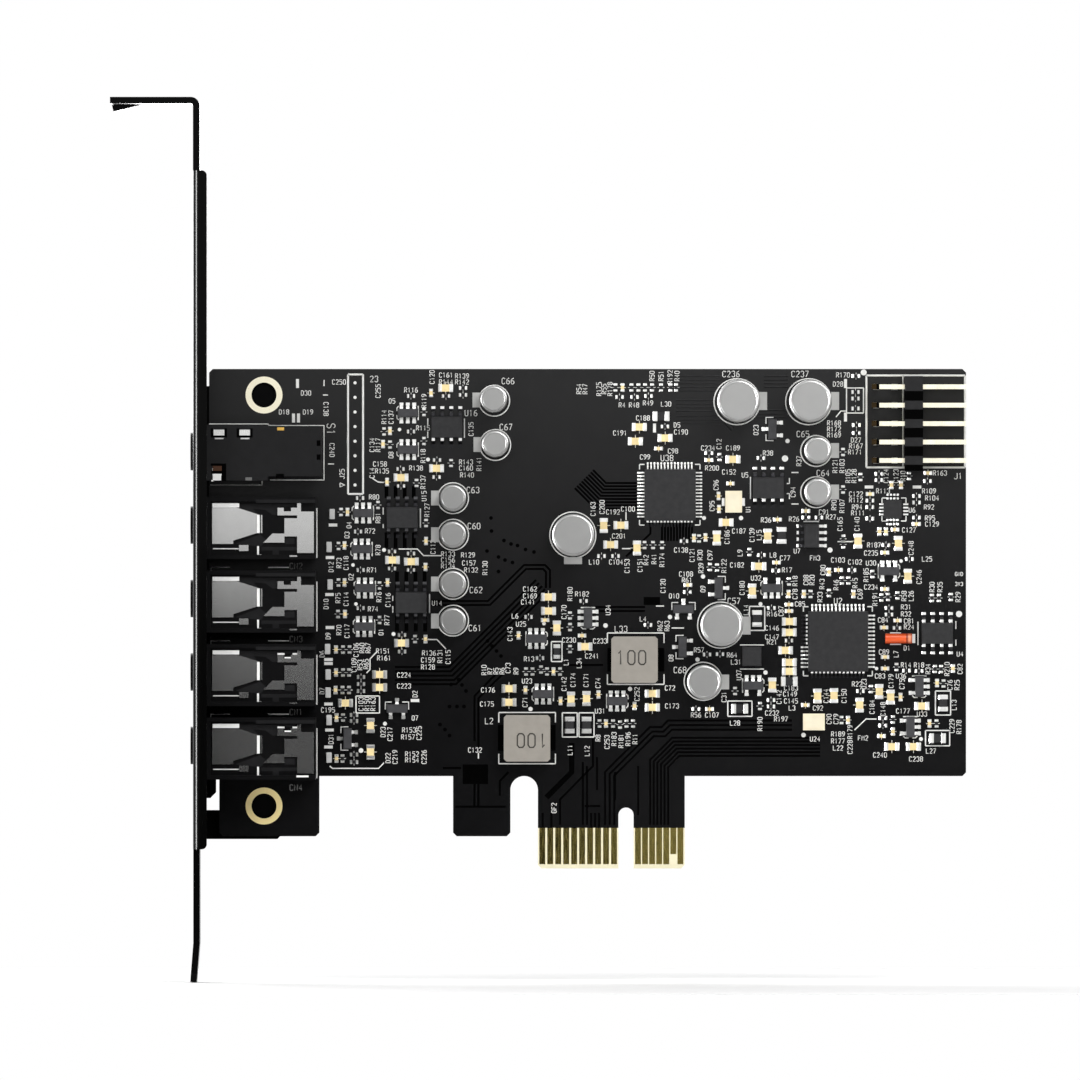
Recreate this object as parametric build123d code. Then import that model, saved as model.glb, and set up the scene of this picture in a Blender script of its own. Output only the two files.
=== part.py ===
from build123d import *
import os

# A sound card for a computer's expansion slot: a circuit board with its parts, and the
# folded steel bracket that holds it in the case.
# It is drawn lying flat. x runs along the board, y up the board and z out of the component
# face, and the origin is the middle of the key notch at the tips of the edge contacts.
# Each piece is stood upright as it is written, so that y points up and z points forward.
# A place on the board is a share of its length, from the left edge, and a share of its
# main height, from the top edge, so that the layout follows the board.

os.makedirs("parts", exist_ok=True)

# Circuit board
BOARD_LENGTH = 104.4
BOARD_HEIGHT = 68.9
BOARD_THICKNESS = 1.6
BOARD_CHAMFER = 0.5
NOTCH_FROM_LEFT = 57.5
LOWER_EDGE = 12.75
TONGUE_LEFT_WIDTH = 11.1
TONGUE_RIGHT_WIDTH = 7.05
NOTCH_WIDTH = 2.1
NOTCH_HEIGHT = 8.4
BEVEL_HEIGHT = 0.6
BEVEL_DEPTH = 0.4
SLOT_WIDTH = 3.8
HOOK_WIDTH = 7.9
HOOK_DROP = 8.3
EAR_WIDTH = 13.8
EAR_DROP = 8.3
EAR_INSET = 1.4

# Edge contacts, the same on both faces
FINGER_WIDTH = 0.8
FINGER_LENGTH = 5.0
FINGER_THICKNESS = 0.05
FINGER_MARGIN = 0.2
LEFT_FINGER_COUNT = 10
RIGHT_FINGER_COUNT = 7
SHORT_FINGER_INDEX = 5
SHORT_FINGER_CUT = 1.4

# Mounting holes and their screws
MOUNT_INSET = 7.6
MOUNT_DROP = 3.6
MOUNT_RISE = 4.15
MOUNT_HOLE = 3.45
SCREW_DIAMETER = 3.0
SCREW_HOLE_CLEARANCE = 0.2
SCREW_RECESS = 0.4
HEAD_DIAMETER = 5.4
HEAD_HEIGHT = 1.7
DRIVE_LENGTH = 3.0
DRIVE_WIDTH = 0.6
DRIVE_DEPTH = 0.9

# Bracket, one folded sheet
SHEET = 0.9
BRACKET_WIDTH = 18.42
BRACKET_TOP = 106.2
BRACKET_GAP = 1.15
BEND_RADIUS = 0.3
TAB_LENGTH = 11.4
TAB_SLOT_WIDTH = 4.42
TAB_SLOT_DEPTH = 7.2
TAB_SLOT_FROM_PLATE = 4.2
FINGER_FOLD_MARGIN = 0.65
FINGER_FOLD_ANGLE = 13
TONGUE_WIDTH = 10.19
TONGUE_LENGTH = 18.3
TONGUE_TIP_LENGTH = 5.4
TONGUE_TIP_ANGLE = 4.5
TONGUE_CHAMFER = 1.2
LIP_DEPTH = 1.9
LIP_BOTTOM = 2.8
LIP_TOP = 96.1
FLANGE_DEPTH = 3.0
FLANGE_TOP_DROP = 2.35
FLANGE_END_ABOVE_HOLE = 1.1
NECK_TOP_BELOW_HOLE = 0.55
SCREW_EAR_HIDE = 0.25
SCREW_EAR_AHEAD = 2.6
SCREW_EAR_RISE = 3.0
UPPER_EAR_FALL = 3.4
LOWER_EAR_FALL = 4.55
SCREW_EAR_CHAMFER = 0.8

# Audio jacks: the upper one is closed, the four below it are open to view
JACK_COUNT = 4
JACK_PITCH = 10.12
FIRST_AXIS_DROP = 11.4
AXIS_HEIGHT = 4.6
JACK_DEPTH = 8.2
JACK_LENGTH = 15.8
JACK_RISE = 3.85
JACK_FALL = 4.7
JACK_SETBACK = 0.1
BARREL_DIAMETER = 5.2
BARREL_REACH = 0.45
BARREL_CLEARANCE = 0.15
PLUG_BORE = 3.6
PLUG_DEPTH = 14.0
TRAY_WALL = 0.6
TRAY_FRONT_WALL = 1.3
TRAY_DEPTH = 0.9
CONTACT_SHEET = 0.3
CONTACT_GAP = 0.25
FRONT_CONTACT_HEIGHT = 5.6
FRONT_CONTACT_LENGTH = 6.5
FRONT_CONTACT_SHOULDER = 2.9
FRONT_CONTACT_NOSE = 2.4
FRONT_CONTACT_RIM = 0.45
FRONT_CONTACT_RIM_RISE = 0.5
REAR_CONTACT_WIDTH = 2.3
REAR_CONTACT_DROP = 1.15
REAR_ARM_LENGTH = 2.7
REAR_ARM_WIDTH = 1.05
REAR_ARM_NOTCH = 0.5
REAR_TONGUE_LENGTH = 1.75
REAR_TONGUE_HEIGHT = 2.5
REAR_TONGUE_GAP = 0.4
REAR_FOOT_LENGTH = 1.65
REAR_FOOT_HEIGHT = 1.25

HEADPHONE_LENGTH = 16.6
HEADPHONE_RISE = 3.7
HEADPHONE_FALL = 4.0
HEADPHONE_FRONT_LENGTH = 9.2
HEADPHONE_STEP = 0.6
CLIP_LENGTH = 1.8
CLIP_WIDTH = 1.0
CLIP_THICKNESS = 0.3
CLIP_INSET = 0.7
CLIP_SPACING = 3.6
CLIP_FROM_FRONT = 1.6

# Electrolytic capacitors, by diameter and height
SMALL_CAN = 4.0
SMALL_CAN_HEIGHT = 5.4
MIDDLE_CAN = 5.0
MIDDLE_CAN_HEIGHT = 5.8
LARGE_CAN = 6.1
LARGE_CAN_HEIGHT = 7.0
SMALL_CAN_PLACES = [
    (0.376, 0.074),
    (0.378, 0.184),
    (0.322, 0.317),
    (0.322, 0.407),
    (0.322, 0.528),
    (0.322, 0.619),
    (0.804, 0.200),
    (0.804, 0.302),
]
MIDDLE_CAN_PLACES = [(0.654, 0.769)]
LARGE_CAN_PLACES = [(0.481, 0.408), (0.699, 0.079), (0.794, 0.079), (0.677, 0.629)]

# Right-angle pin header at the right-hand edge
HEADER_ROW_COUNT = 2
HEADER_COLUMN_COUNT = 5
HEADER_PITCH = 2.54
HEADER_BODY = 2.5
HEADER_OVERHANG = 1.45
HEADER_DROP = 7.55
PIN_SIZE = 0.64
PIN_REACH = 6.0
PIN_LEG_GAP = 1.35
PIN_TAIL = 1.0
PIN_HOLE_CLEARANCE = 0.1

# Flat chips with leads on four sides
CHIP_HEIGHT = 1.4
CHIP_STANDOFF = 0.1
CHIP_DRAFT = 8
CONVERTER_SIZE = 7.1
CONVERTER_PITCH = 0.467
CONVERTER_PLACE = (0.609, 0.309)
CONTROLLER_SIZE = 8.3
CONTROLLER_PITCH = 0.544
CONTROLLER_PLACE = (0.831, 0.669)
LEAD_COUNT = 14
LEAD_WIDTH = 0.22
LEAD_THICKNESS = 0.15
LEAD_REACH = 1.0
LEAD_FOOT = 0.5

# Small chips with leads on two sides
AMPLIFIER_LENGTH = 4.35
AMPLIFIER_WIDTH = 2.95
AMPLIFIER_HEIGHT = 1.35
AMPLIFIER_LEAD_COUNT = 4
AMPLIFIER_PITCH = 1.22
AMPLIFIER_PLACES = [(0.314, 0.143), (0.255, 0.365), (0.267, 0.574), (0.739, 0.292), (0.962, 0.649)]
REGULATOR_LENGTH = 3.3
REGULATOR_WIDTH = 2.05
REGULATOR_LEAD_COUNT = 4
REGULATOR_PITCH = 0.8
REGULATOR_PLACE = (0.796, 0.410)
WIDE_LEAD_WIDTH = 0.45
WIDE_LEAD_THICKNESS = 0.2
WIDE_LEAD_REACH = 1.4
WIDE_LEAD_FOOT = 0.6
NARROW_LEAD_WIDTH = 0.35
NARROW_LEAD_REACH = 0.85

# Leadless parts
SWITCH_SIZE = 2.5
SWITCH_HEIGHT = 0.85
SWITCH_PLACE = (0.903, 0.345)
CHOKE_SIZE = 2.7
CHOKE_HEIGHT = 1.4
CHOKE_PLACE = (0.717, 0.706)
OSCILLATOR_LENGTH = 3.0
OSCILLATOR_WIDTH = 2.3
OSCILLATOR_HEIGHT = 0.9
OSCILLATOR_LID_INSET = 0.25
OSCILLATOR_LID_HEIGHT = 0.15
OSCILLATOR_UPRIGHT_PLACE = (0.693, 0.326)
OSCILLATOR_LEVEL_PLACE = (0.799, 0.867)

# Power inductors
INDUCTOR_SIZE = 6.4
INDUCTOR_HEIGHT = 3.0
INDUCTOR_CORNER = 0.35
INDUCTOR_TERMINAL_WIDTH = 2.2
INDUCTOR_TERMINAL_HEIGHT = 1.2
INDUCTOR_TERMINAL_THICKNESS = 0.3
INDUCTOR_PLACES = [(0.562, 0.714), (0.420, 0.907)]

# Glass diode
DIODE_LENGTH = 3.7
DIODE_DIAMETER = 1.4
DIODE_PLACE = (0.911, 0.662)

# Working values that follow from the sizes above
BOARD_LEFT = -NOTCH_FROM_LEFT
BOARD_RIGHT = BOARD_LEFT + BOARD_LENGTH
BOARD_BACK = -BOARD_THICKNESS
MAIN_HEIGHT = BOARD_HEIGHT - LOWER_EDGE
TONGUE_LEFT = -NOTCH_WIDTH / 2 - TONGUE_LEFT_WIDTH
TONGUE_RIGHT = NOTCH_WIDTH / 2 + TONGUE_RIGHT_WIDTH
SLOT_LEFT = TONGUE_LEFT - SLOT_WIDTH
HOOK_LEFT = SLOT_LEFT - HOOK_WIDTH
HOOK_BOTTOM = LOWER_EDGE - HOOK_DROP
EAR_LEFT = BOARD_LEFT + EAR_INSET
EAR_RIGHT = EAR_LEFT + EAR_WIDTH
EAR_BOTTOM = LOWER_EDGE - EAR_DROP
MOUNT_X = BOARD_LEFT + MOUNT_INSET
UPPER_MOUNT = BOARD_HEIGHT - MOUNT_DROP
LOWER_MOUNT = EAR_BOTTOM + MOUNT_RISE
PLATE_INNER = BOARD_LEFT - BRACKET_GAP
PLATE_OUTER = PLATE_INNER - SHEET
FAR_EDGE = BOARD_BACK - SHEET
NEAR_EDGE = FAR_EDGE + BRACKET_WIDTH
BEND_OUTER = BEND_RADIUS + SHEET
HEADPHONE_AXIS = BOARD_HEIGHT - FIRST_AXIS_DROP
JACK_FRONT = PLATE_INNER + JACK_SETBACK
TRAY_FLOOR = JACK_DEPTH - TRAY_DEPTH
TRAY_TOP = JACK_RISE - TRAY_WALL
TRAY_BOTTOM = TRAY_WALL - JACK_FALL

UPRIGHT = Plane(origin=(0, -BOARD_THICKNESS / 2, 0), x_dir=(1, 0, 0), z_dir=(0, -1, 0)).location
QUARTER = 90
CUT_MARGIN = 1.0


def board_x(share):
    """The x of a share of the board's length, from its left edge."""
    return BOARD_LEFT + BOARD_LENGTH * share


def board_y(share):
    """The y of a share of the board's main height, from its top edge."""
    return BOARD_HEIGHT - MAIN_HEIGHT * share


def on_board(place, turn=0):
    """Where a part stands on the component face, turned about its own middle."""
    return Pos(board_x(place[0]), board_y(place[1])) * Rot(0, 0, turn)


def block(x_range, y_range, z_range):
    """A box between two limits each way."""
    corners = [sum(limits) / 2 for limits in (x_range, y_range, z_range)]
    sizes = [abs(limits[1] - limits[0]) for limits in (x_range, y_range, z_range)]
    return Pos(*corners) * Box(*sizes)


def patch(x_range, y_range):
    """A flat rectangle between two limits each way."""
    width = abs(x_range[1] - x_range[0])
    height = abs(y_range[1] - y_range[0])
    return Pos(sum(x_range) / 2, sum(y_range) / 2) * Rectangle(width, height)


def along_x(section, start, length):
    """A section drawn in y and z, pushed along x."""
    return Pos(start, 0, 0) * extrude(Plane.YZ * section, length)


def write(name, shape):
    """Stands a piece upright and writes it."""
    export_step(UPRIGHT * shape, os.path.join("parts", name + ".step"))


def write_group(name, solids):
    """Writes like pieces together, each still a solid of its own."""
    write(name, Compound(children=list(solids)))


def header_rows():
    """The height of each row of header pins, and how far behind the body its legs drop."""
    rows = []
    for row in range(HEADER_ROW_COUNT):
        step = HEADER_PITCH * row
        rows.append((HEADER_PITCH / 2 + step, PIN_LEG_GAP + step))
    return rows


def header_columns():
    """The y of each column of header pins."""
    middle = BOARD_HEIGHT - HEADER_DROP
    first = middle - HEADER_PITCH * (HEADER_COLUMN_COUNT - 1) / 2
    return [first + HEADER_PITCH * column for column in range(HEADER_COLUMN_COUNT)]


HEADER_RIGHT = BOARD_RIGHT - PIN_REACH
HEADER_LEFT = HEADER_RIGHT - HEADER_BODY


def board_outline():
    """The board's face: the main field, the ear, the hook tab and the contact tongue."""
    slot_middle = (SLOT_LEFT + TONGUE_LEFT) / 2
    slot_round = LOWER_EDGE - SLOT_WIDTH / 2
    face = patch((BOARD_LEFT, BOARD_RIGHT), (LOWER_EDGE, BOARD_HEIGHT))
    face += patch((EAR_LEFT, EAR_RIGHT), (EAR_BOTTOM, LOWER_EDGE))
    face += patch((HOOK_LEFT, SLOT_LEFT), (HOOK_BOTTOM, LOWER_EDGE))
    face += patch((TONGUE_LEFT, TONGUE_RIGHT), (0, LOWER_EDGE))
    outer = [
        (BOARD_LEFT, BOARD_HEIGHT),
        (BOARD_RIGHT, BOARD_HEIGHT),
        (BOARD_RIGHT, LOWER_EDGE),
        (EAR_LEFT, EAR_BOTTOM),
        (EAR_RIGHT, EAR_BOTTOM),
        (HOOK_LEFT, HOOK_BOTTOM),
        (SLOT_LEFT, HOOK_BOTTOM),
        (TONGUE_LEFT, 0),
        (TONGUE_RIGHT, 0),
    ]
    corners = [face.vertices().sort_by_distance((x, y, 0))[0] for x, y in outer]
    face = chamfer(corners, BOARD_CHAMFER)
    face += patch((SLOT_LEFT, TONGUE_LEFT), (slot_round, LOWER_EDGE))
    face -= Pos(slot_middle, slot_round) * Circle(SLOT_WIDTH / 2)
    notch_round = NOTCH_HEIGHT - NOTCH_WIDTH / 2
    face -= patch((-NOTCH_WIDTH / 2, NOTCH_WIDTH / 2), (0, notch_round))
    face -= Pos(0, notch_round) * Circle(NOTCH_WIDTH / 2)
    for y in (UPPER_MOUNT, LOWER_MOUNT):
        face -= Pos(MOUNT_X, y) * Circle(MOUNT_HOLE / 2)
    hole = PIN_SIZE + PIN_HOLE_CLEARANCE * 2
    for _, leg_gap in header_rows():
        for y in header_columns():
            face -= Pos(HEADER_LEFT - leg_gap, y) * Rectangle(hole, hole)
    return face


def circuit_board():
    """The board, with the lower edge of its contact tongue bevelled on both faces."""
    board = Pos(0, 0, BOARD_BACK) * extrude(board_outline(), BOARD_THICKNESS)
    length = TONGUE_RIGHT - TONGUE_LEFT
    front = [(0, 0), (BEVEL_HEIGHT, 0), (0, -BEVEL_DEPTH)]
    back = [(0, BOARD_BACK), (BEVEL_HEIGHT, BOARD_BACK), (0, BOARD_BACK + BEVEL_DEPTH)]
    for corner in (front, back):
        wedge = make_face(Polyline(*corner, close=True))
        board -= along_x(wedge, TONGUE_LEFT, length)
    return board


def finger_row(left, width, count, short=None):
    """One face's row of contacts across a stretch of the tongue, as x, y and lengths."""
    first = left + FINGER_MARGIN + FINGER_WIDTH / 2
    step = (width - 2 * FINGER_MARGIN - FINGER_WIDTH) / (count - 1)
    top = BEVEL_HEIGHT + FINGER_LENGTH
    row = []
    for index in range(count):
        x = first + step * index
        bottom = BEVEL_HEIGHT + (SHORT_FINGER_CUT if index == short else 0)
        row.append(((x - FINGER_WIDTH / 2, x + FINGER_WIDTH / 2), (bottom, top)))
    return row


def edge_contacts():
    """The gilt contact strips on both faces of the tongue."""
    row = finger_row(TONGUE_LEFT, TONGUE_LEFT_WIDTH, LEFT_FINGER_COUNT)
    row += finger_row(NOTCH_WIDTH / 2, TONGUE_RIGHT_WIDTH, RIGHT_FINGER_COUNT, SHORT_FINGER_INDEX)
    strips = [block(x, y, (0, FINGER_THICKNESS)) for x, y in row]
    strips += [block(x, y, (BOARD_BACK - FINGER_THICKNESS, BOARD_BACK)) for x, y in row]
    return strips


def bracket_screws():
    """The pan-head screws that come from behind, through the bracket's ears."""
    shank_length = BOARD_THICKNESS + SHEET - SCREW_RECESS
    head = Pos(0, 0, -HEAD_HEIGHT / 2) * Cylinder(HEAD_DIAMETER / 2, HEAD_HEIGHT)
    drive = (-HEAD_HEIGHT, DRIVE_DEPTH - HEAD_HEIGHT)
    long_way = (-DRIVE_LENGTH / 2, DRIVE_LENGTH / 2)
    short_way = (-DRIVE_WIDTH / 2, DRIVE_WIDTH / 2)
    head -= block(long_way, short_way, drive)
    head -= block(short_way, long_way, drive)
    screw = head + Pos(0, 0, shank_length / 2) * Cylinder(SCREW_DIAMETER / 2, shank_length)
    return [Pos(MOUNT_X, y, FAR_EDGE) * screw for y in (UPPER_MOUNT, LOWER_MOUNT)]


def bracket_profile():
    """The bracket's section: top tab, plate and tongue with its turned-out tip."""
    tongue_bottom = LIP_BOTTOM - TONGUE_LENGTH
    tip_start = tongue_bottom + TONGUE_TIP_LENGTH
    tip = Vector(0, -TONGUE_TIP_LENGTH).rotate(Axis.Z, -TONGUE_TIP_ANGLE)
    points = [
        (PLATE_OUTER - TAB_LENGTH, BRACKET_TOP),
        (PLATE_INNER, BRACKET_TOP),
        (PLATE_INNER, tip_start),
        (PLATE_INNER + tip.X, tip_start + tip.Y),
        (PLATE_OUTER + tip.X, tip_start + tip.Y),
        (PLATE_OUTER, tip_start),
        (PLATE_OUTER, BRACKET_TOP - SHEET),
        (PLATE_OUTER - TAB_LENGTH, BRACKET_TOP - SHEET),
    ]
    face = make_face(Polyline(*points, close=True))
    outer = face.vertices().sort_by_distance((PLATE_INNER, BRACKET_TOP, 0))[0]
    face = fillet(outer, BEND_OUTER)
    inner = face.vertices().sort_by_distance((PLATE_OUTER, BRACKET_TOP - SHEET, 0))[0]
    return fillet(inner, BEND_RADIUS)


def bracket_front():
    """The bracket seen from outside the case, in y and z: plate above, tongue below."""
    middle = (NEAR_EDGE + FAR_EDGE) / 2
    tongue_bottom = LIP_BOTTOM - TONGUE_LENGTH
    tongue = (middle - TONGUE_WIDTH / 2, middle + TONGUE_WIDTH / 2)
    face = patch((LIP_BOTTOM, BRACKET_TOP), (FAR_EDGE, NEAR_EDGE))
    face += patch((tongue_bottom, LIP_BOTTOM), tongue)
    tips = [face.vertices().sort_by_distance((tongue_bottom, z, 0))[0] for z in tongue]
    return chamfer(tips, TONGUE_CHAMFER)


def bend(edge, inward, y_range, depth):
    """A lip folded from the plate's edge towards the board, over a stretch of y.

    inward is +1 where the plate lies on the greater-z side of the edge, and -1 otherwise.
    """
    root = edge + inward * (BEND_OUTER + BEND_RADIUS)
    inner = PLATE_OUTER + SHEET
    turned = edge + inward * SHEET
    tip = PLATE_OUTER + depth
    corners = [(PLATE_OUTER, root), (PLATE_OUTER, edge), (tip, edge)]
    corners += [(tip, turned), (inner, turned), (inner, root)]
    section = make_face(Polyline(*corners, close=True))
    outside = section.vertices().sort_by_distance((PLATE_OUTER, edge, 0))[0]
    section = fillet(outside, BEND_OUTER)
    inside = section.vertices().sort_by_distance((inner, turned, 0))[0]
    section = fillet(inside, BEND_RADIUS)
    length = y_range[1] - y_range[0]
    return Pos(0, y_range[1], 0) * extrude(Plane.XZ * section, length)


def free_corners(lip):
    """The short edges at the free corners of a folded lip."""
    return lip.edges().filter_by(Axis.Z).group_by(Axis.X)[-1]


def tab_slot():
    """The open slot for the case's screw, right through the top tab."""
    x = PLATE_OUTER - TAB_SLOT_FROM_PLATE
    half = TAB_SLOT_WIDTH / 2
    round_middle = FAR_EDGE + TAB_SLOT_DEPTH - half
    slot = patch((x - half, x + half), (FAR_EDGE - half, round_middle))
    slot += Pos(x, round_middle) * Circle(half)
    depth = SHEET + CUT_MARGIN * 2
    return Pos(0, BRACKET_TOP + CUT_MARGIN, 0) * extrude(Plane.XZ * slot, depth)


def turned_finger():
    """The end of the tab beyond its slot, cut free and turned down a little.

    Returns the stretch of flat tab that it is cut from, and the finger itself.
    """
    fold = PLATE_OUTER - TAB_SLOT_FROM_PLATE - TAB_SLOT_WIDTH / 2 - FINGER_FOLD_MARGIN
    length = PLATE_OUTER - TAB_LENGTH - fold
    width = (FAR_EDGE, FAR_EDGE + TAB_SLOT_DEPTH)
    flat = block((fold + length, fold), (BRACKET_TOP - SHEET, BRACKET_TOP), width)
    turn = Pos(fold, BRACKET_TOP, 0) * Rot(0, 0, FINGER_FOLD_ANGLE)
    finger = turn * block((length, 0), (-SHEET, 0), width)
    return flat, finger


def bracket():
    """The folded bracket: plate, screw tab, tongue, near lip and the ears behind the board."""
    reach = TAB_LENGTH + SHEET + LIP_DEPTH
    sheet = Pos(0, 0, FAR_EDGE) * extrude(bracket_profile(), BRACKET_WIDTH)
    sheet &= along_x(bracket_front(), PLATE_OUTER - reach, reach * 2)
    flat_finger, finger = turned_finger()
    sheet = sheet - flat_finger + finger - tab_slot()
    through_plate = (PLATE_OUTER - CUT_MARGIN, PLATE_INNER + CUT_MARGIN)
    lip_range = (LIP_BOTTOM, LIP_TOP)
    flange_range = (LOWER_MOUNT + FLANGE_END_ABOVE_HOLE, BOARD_HEIGHT - FLANGE_TOP_DROP)
    neck_range = (LOWER_MOUNT - LOWER_EAR_FALL, LOWER_MOUNT - NECK_TOP_BELOW_HOLE)
    sheet -= block(through_plate, lip_range, (NEAR_EDGE - BEND_OUTER, NEAR_EDGE))
    for stretch in (flange_range, neck_range):
        sheet -= block(through_plate, stretch, (FAR_EDGE, FAR_EDGE + BEND_OUTER))
    ear_left = EAR_LEFT + SCREW_EAR_HIDE
    ear_right = MOUNT_X + SCREW_EAR_AHEAD
    ear_overlap = ear_left + SCREW_EAR_CHAMFER
    lip = bend(NEAR_EDGE, -1, lip_range, LIP_DEPTH)
    sheet += fillet(free_corners(lip), LIP_DEPTH - BEND_OUTER)
    flange = bend(FAR_EDGE, 1, flange_range, FLANGE_DEPTH)
    sheet += chamfer(free_corners(flange), SCREW_EAR_CHAMFER)
    sheet += bend(FAR_EDGE, 1, neck_range, ear_overlap - PLATE_OUTER)
    upper_fall = UPPER_MOUNT - UPPER_EAR_FALL
    link = patch((PLATE_OUTER + BEND_OUTER, ear_overlap), (upper_fall, flange_range[1]))
    sheet += Pos(0, 0, FAR_EDGE) * extrude(link, SHEET)
    for y, fall in ((UPPER_MOUNT, UPPER_EAR_FALL), (LOWER_MOUNT, LOWER_EAR_FALL)):
        ear = patch((ear_left, ear_right), (y - fall, y + SCREW_EAR_RISE))
        ear = chamfer(ear.vertices().group_by(Axis.X)[-1], SCREW_EAR_CHAMFER)
        ear -= Pos(MOUNT_X, y) * Circle((SCREW_DIAMETER + SCREW_HOLE_CLEARANCE) / 2)
        sheet += Pos(0, 0, FAR_EDGE) * extrude(ear, SHEET)
    for y in [HEADPHONE_AXIS] + jack_axes():
        hole = Circle(BARREL_DIAMETER / 2 + BARREL_CLEARANCE)
        sheet -= along_x(Pos(y, AXIS_HEIGHT) * hole, *through_hole())
    return sheet


def through_hole():
    """Where a cut across the plate starts, and how long it is."""
    return PLATE_OUTER - CUT_MARGIN, SHEET + CUT_MARGIN * 2


def jack_axes():
    """The y of each open jack's axis, from the top down."""
    return [HEADPHONE_AXIS - JACK_PITCH * (index + 1) for index in range(JACK_COUNT)]


def round_along_x(diameter, start, length, y):
    """A cylinder on a jack's axis."""
    return along_x(Pos(y, AXIS_HEIGHT) * Circle(diameter / 2), start, length)


def jack_shell(length, rise, fall, y):
    """A jack's moulded block with the barrel that passes through the bracket."""
    shell = block((JACK_FRONT, JACK_FRONT + length), (y - fall, y + rise), (0, JACK_DEPTH))
    barrel_start = PLATE_OUTER - BARREL_REACH
    return shell + round_along_x(BARREL_DIAMETER, barrel_start, JACK_FRONT - barrel_start, y)


def plug_bore(y):
    """The bore that takes the plug."""
    return round_along_x(PLUG_BORE, PLATE_OUTER - BARREL_REACH, PLUG_DEPTH, y)


def jack_housing(y):
    """An open jack: a block with a bore and a tray on top for its contacts."""
    tray_x = (JACK_FRONT + TRAY_FRONT_WALL, JACK_FRONT + JACK_LENGTH)
    tray_y = (y + TRAY_BOTTOM, y + TRAY_TOP)
    shell = jack_shell(JACK_LENGTH, JACK_RISE, JACK_FALL, y)
    return shell - plug_bore(y) - block(tray_x, tray_y, (TRAY_FLOOR, JACK_DEPTH))


def front_contact(y):
    """The sleeve contact: a plate that narrows to a nose, with its upper edge turned up."""
    left = JACK_FRONT + TRAY_FRONT_WALL + CONTACT_GAP
    shoulder = left + FRONT_CONTACT_SHOULDER
    right = left + FRONT_CONTACT_LENGTH
    top = y + TRAY_TOP - CONTACT_GAP
    bottom = top - FRONT_CONTACT_HEIGHT
    middle = (top + bottom) / 2
    nose = FRONT_CONTACT_NOSE / 2
    neck = FRONT_CONTACT_HEIGHT / 2 - FRONT_CONTACT_RIM
    points = [
        (left, bottom),
        (shoulder, bottom),
        (shoulder, middle - neck),
        (right, middle - nose),
        (right, middle + nose),
        (shoulder, middle + neck),
        (shoulder, top),
        (left, top),
    ]
    plate = extrude(make_face(Polyline(*points, close=True)), CONTACT_SHEET)
    rim_rise = (0, FRONT_CONTACT_RIM_RISE)
    plate += block((left, shoulder), (top - CONTACT_SHEET, top), rim_rise)
    plate += block((right - CONTACT_SHEET, right), (middle - nose, middle + nose), rim_rise)
    return Pos(0, 0, TRAY_FLOOR) * plate


def rear_contact(y):
    """The tip contact: a plate with a notched arm, a broad tongue and a pointed foot."""
    right = JACK_FRONT + JACK_LENGTH - CONTACT_GAP
    root = right - REAR_CONTACT_WIDTH
    top = y + TRAY_TOP - CONTACT_GAP
    shoulder = top - REAR_CONTACT_DROP
    bottom = y + TRAY_BOTTOM + CONTACT_GAP
    arm_left = root - REAR_ARM_LENGTH
    arm_top = shoulder + REAR_ARM_WIDTH / 2
    tongue_left = root - REAR_TONGUE_LENGTH
    tongue_top = arm_top - REAR_ARM_WIDTH - REAR_TONGUE_GAP
    tongue_bottom = tongue_top - REAR_TONGUE_HEIGHT
    foot_left = tongue_left - REAR_FOOT_LENGTH
    foot_top = tongue_bottom + REAR_TONGUE_GAP
    foot_bottom = foot_top - REAR_FOOT_HEIGHT
    face = patch((root, right), (bottom, shoulder))
    face += patch((root, root + REAR_ARM_WIDTH / 2), (shoulder, top))
    face += patch((arm_left, root), (arm_top - REAR_ARM_WIDTH, arm_top))
    notch_middle = (arm_left + root) / 2
    notch = (notch_middle - REAR_ARM_NOTCH, notch_middle + REAR_ARM_NOTCH)
    face -= patch(notch, (arm_top - REAR_ARM_NOTCH, arm_top))
    face += patch((tongue_left, root), (tongue_bottom, tongue_top))
    face += patch((foot_left, tongue_left), (foot_bottom, foot_top))
    point = [(foot_left, foot_top), (foot_left - REAR_FOOT_HEIGHT, foot_bottom), (foot_left, foot_bottom)]
    face += make_face(Polyline(*point, close=True))
    return Pos(0, 0, TRAY_FLOOR) * extrude(face, CONTACT_SHEET)


def clip_places():
    """The lower left corner of each solder clip on the closed jack."""
    left = JACK_FRONT + CLIP_FROM_FRONT
    upper = HEADPHONE_AXIS + HEADPHONE_RISE - CLIP_INSET - CLIP_WIDTH
    lower = HEADPHONE_AXIS - HEADPHONE_FALL + CLIP_INSET
    return [(left, upper), (left + CLIP_SPACING, upper), (left, lower)]


def headphone_clips():
    """The solder clips that lie in pockets on top of the closed jack."""
    clips = []
    for x, y in clip_places():
        across = (y, y + CLIP_WIDTH)
        clips.append(block((x, x + CLIP_LENGTH), across, (JACK_DEPTH - CLIP_THICKNESS, JACK_DEPTH)))
    return clips


def headphone_housing():
    """The closed jack: a broad front block, a narrower rear block, a barrel and a bore."""
    y = HEADPHONE_AXIS
    front = jack_shell(HEADPHONE_FRONT_LENGTH, HEADPHONE_RISE, HEADPHONE_FALL, y)
    rear_x = (JACK_FRONT + HEADPHONE_FRONT_LENGTH, JACK_FRONT + HEADPHONE_LENGTH)
    rear_y = (y - HEADPHONE_FALL + HEADPHONE_STEP, y + HEADPHONE_RISE - HEADPHONE_STEP / 2)
    shell = front + block(rear_x, rear_y, (0, JACK_DEPTH)) - plug_bore(y)
    for clip in headphone_clips():
        shell -= clip
    return shell


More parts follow.
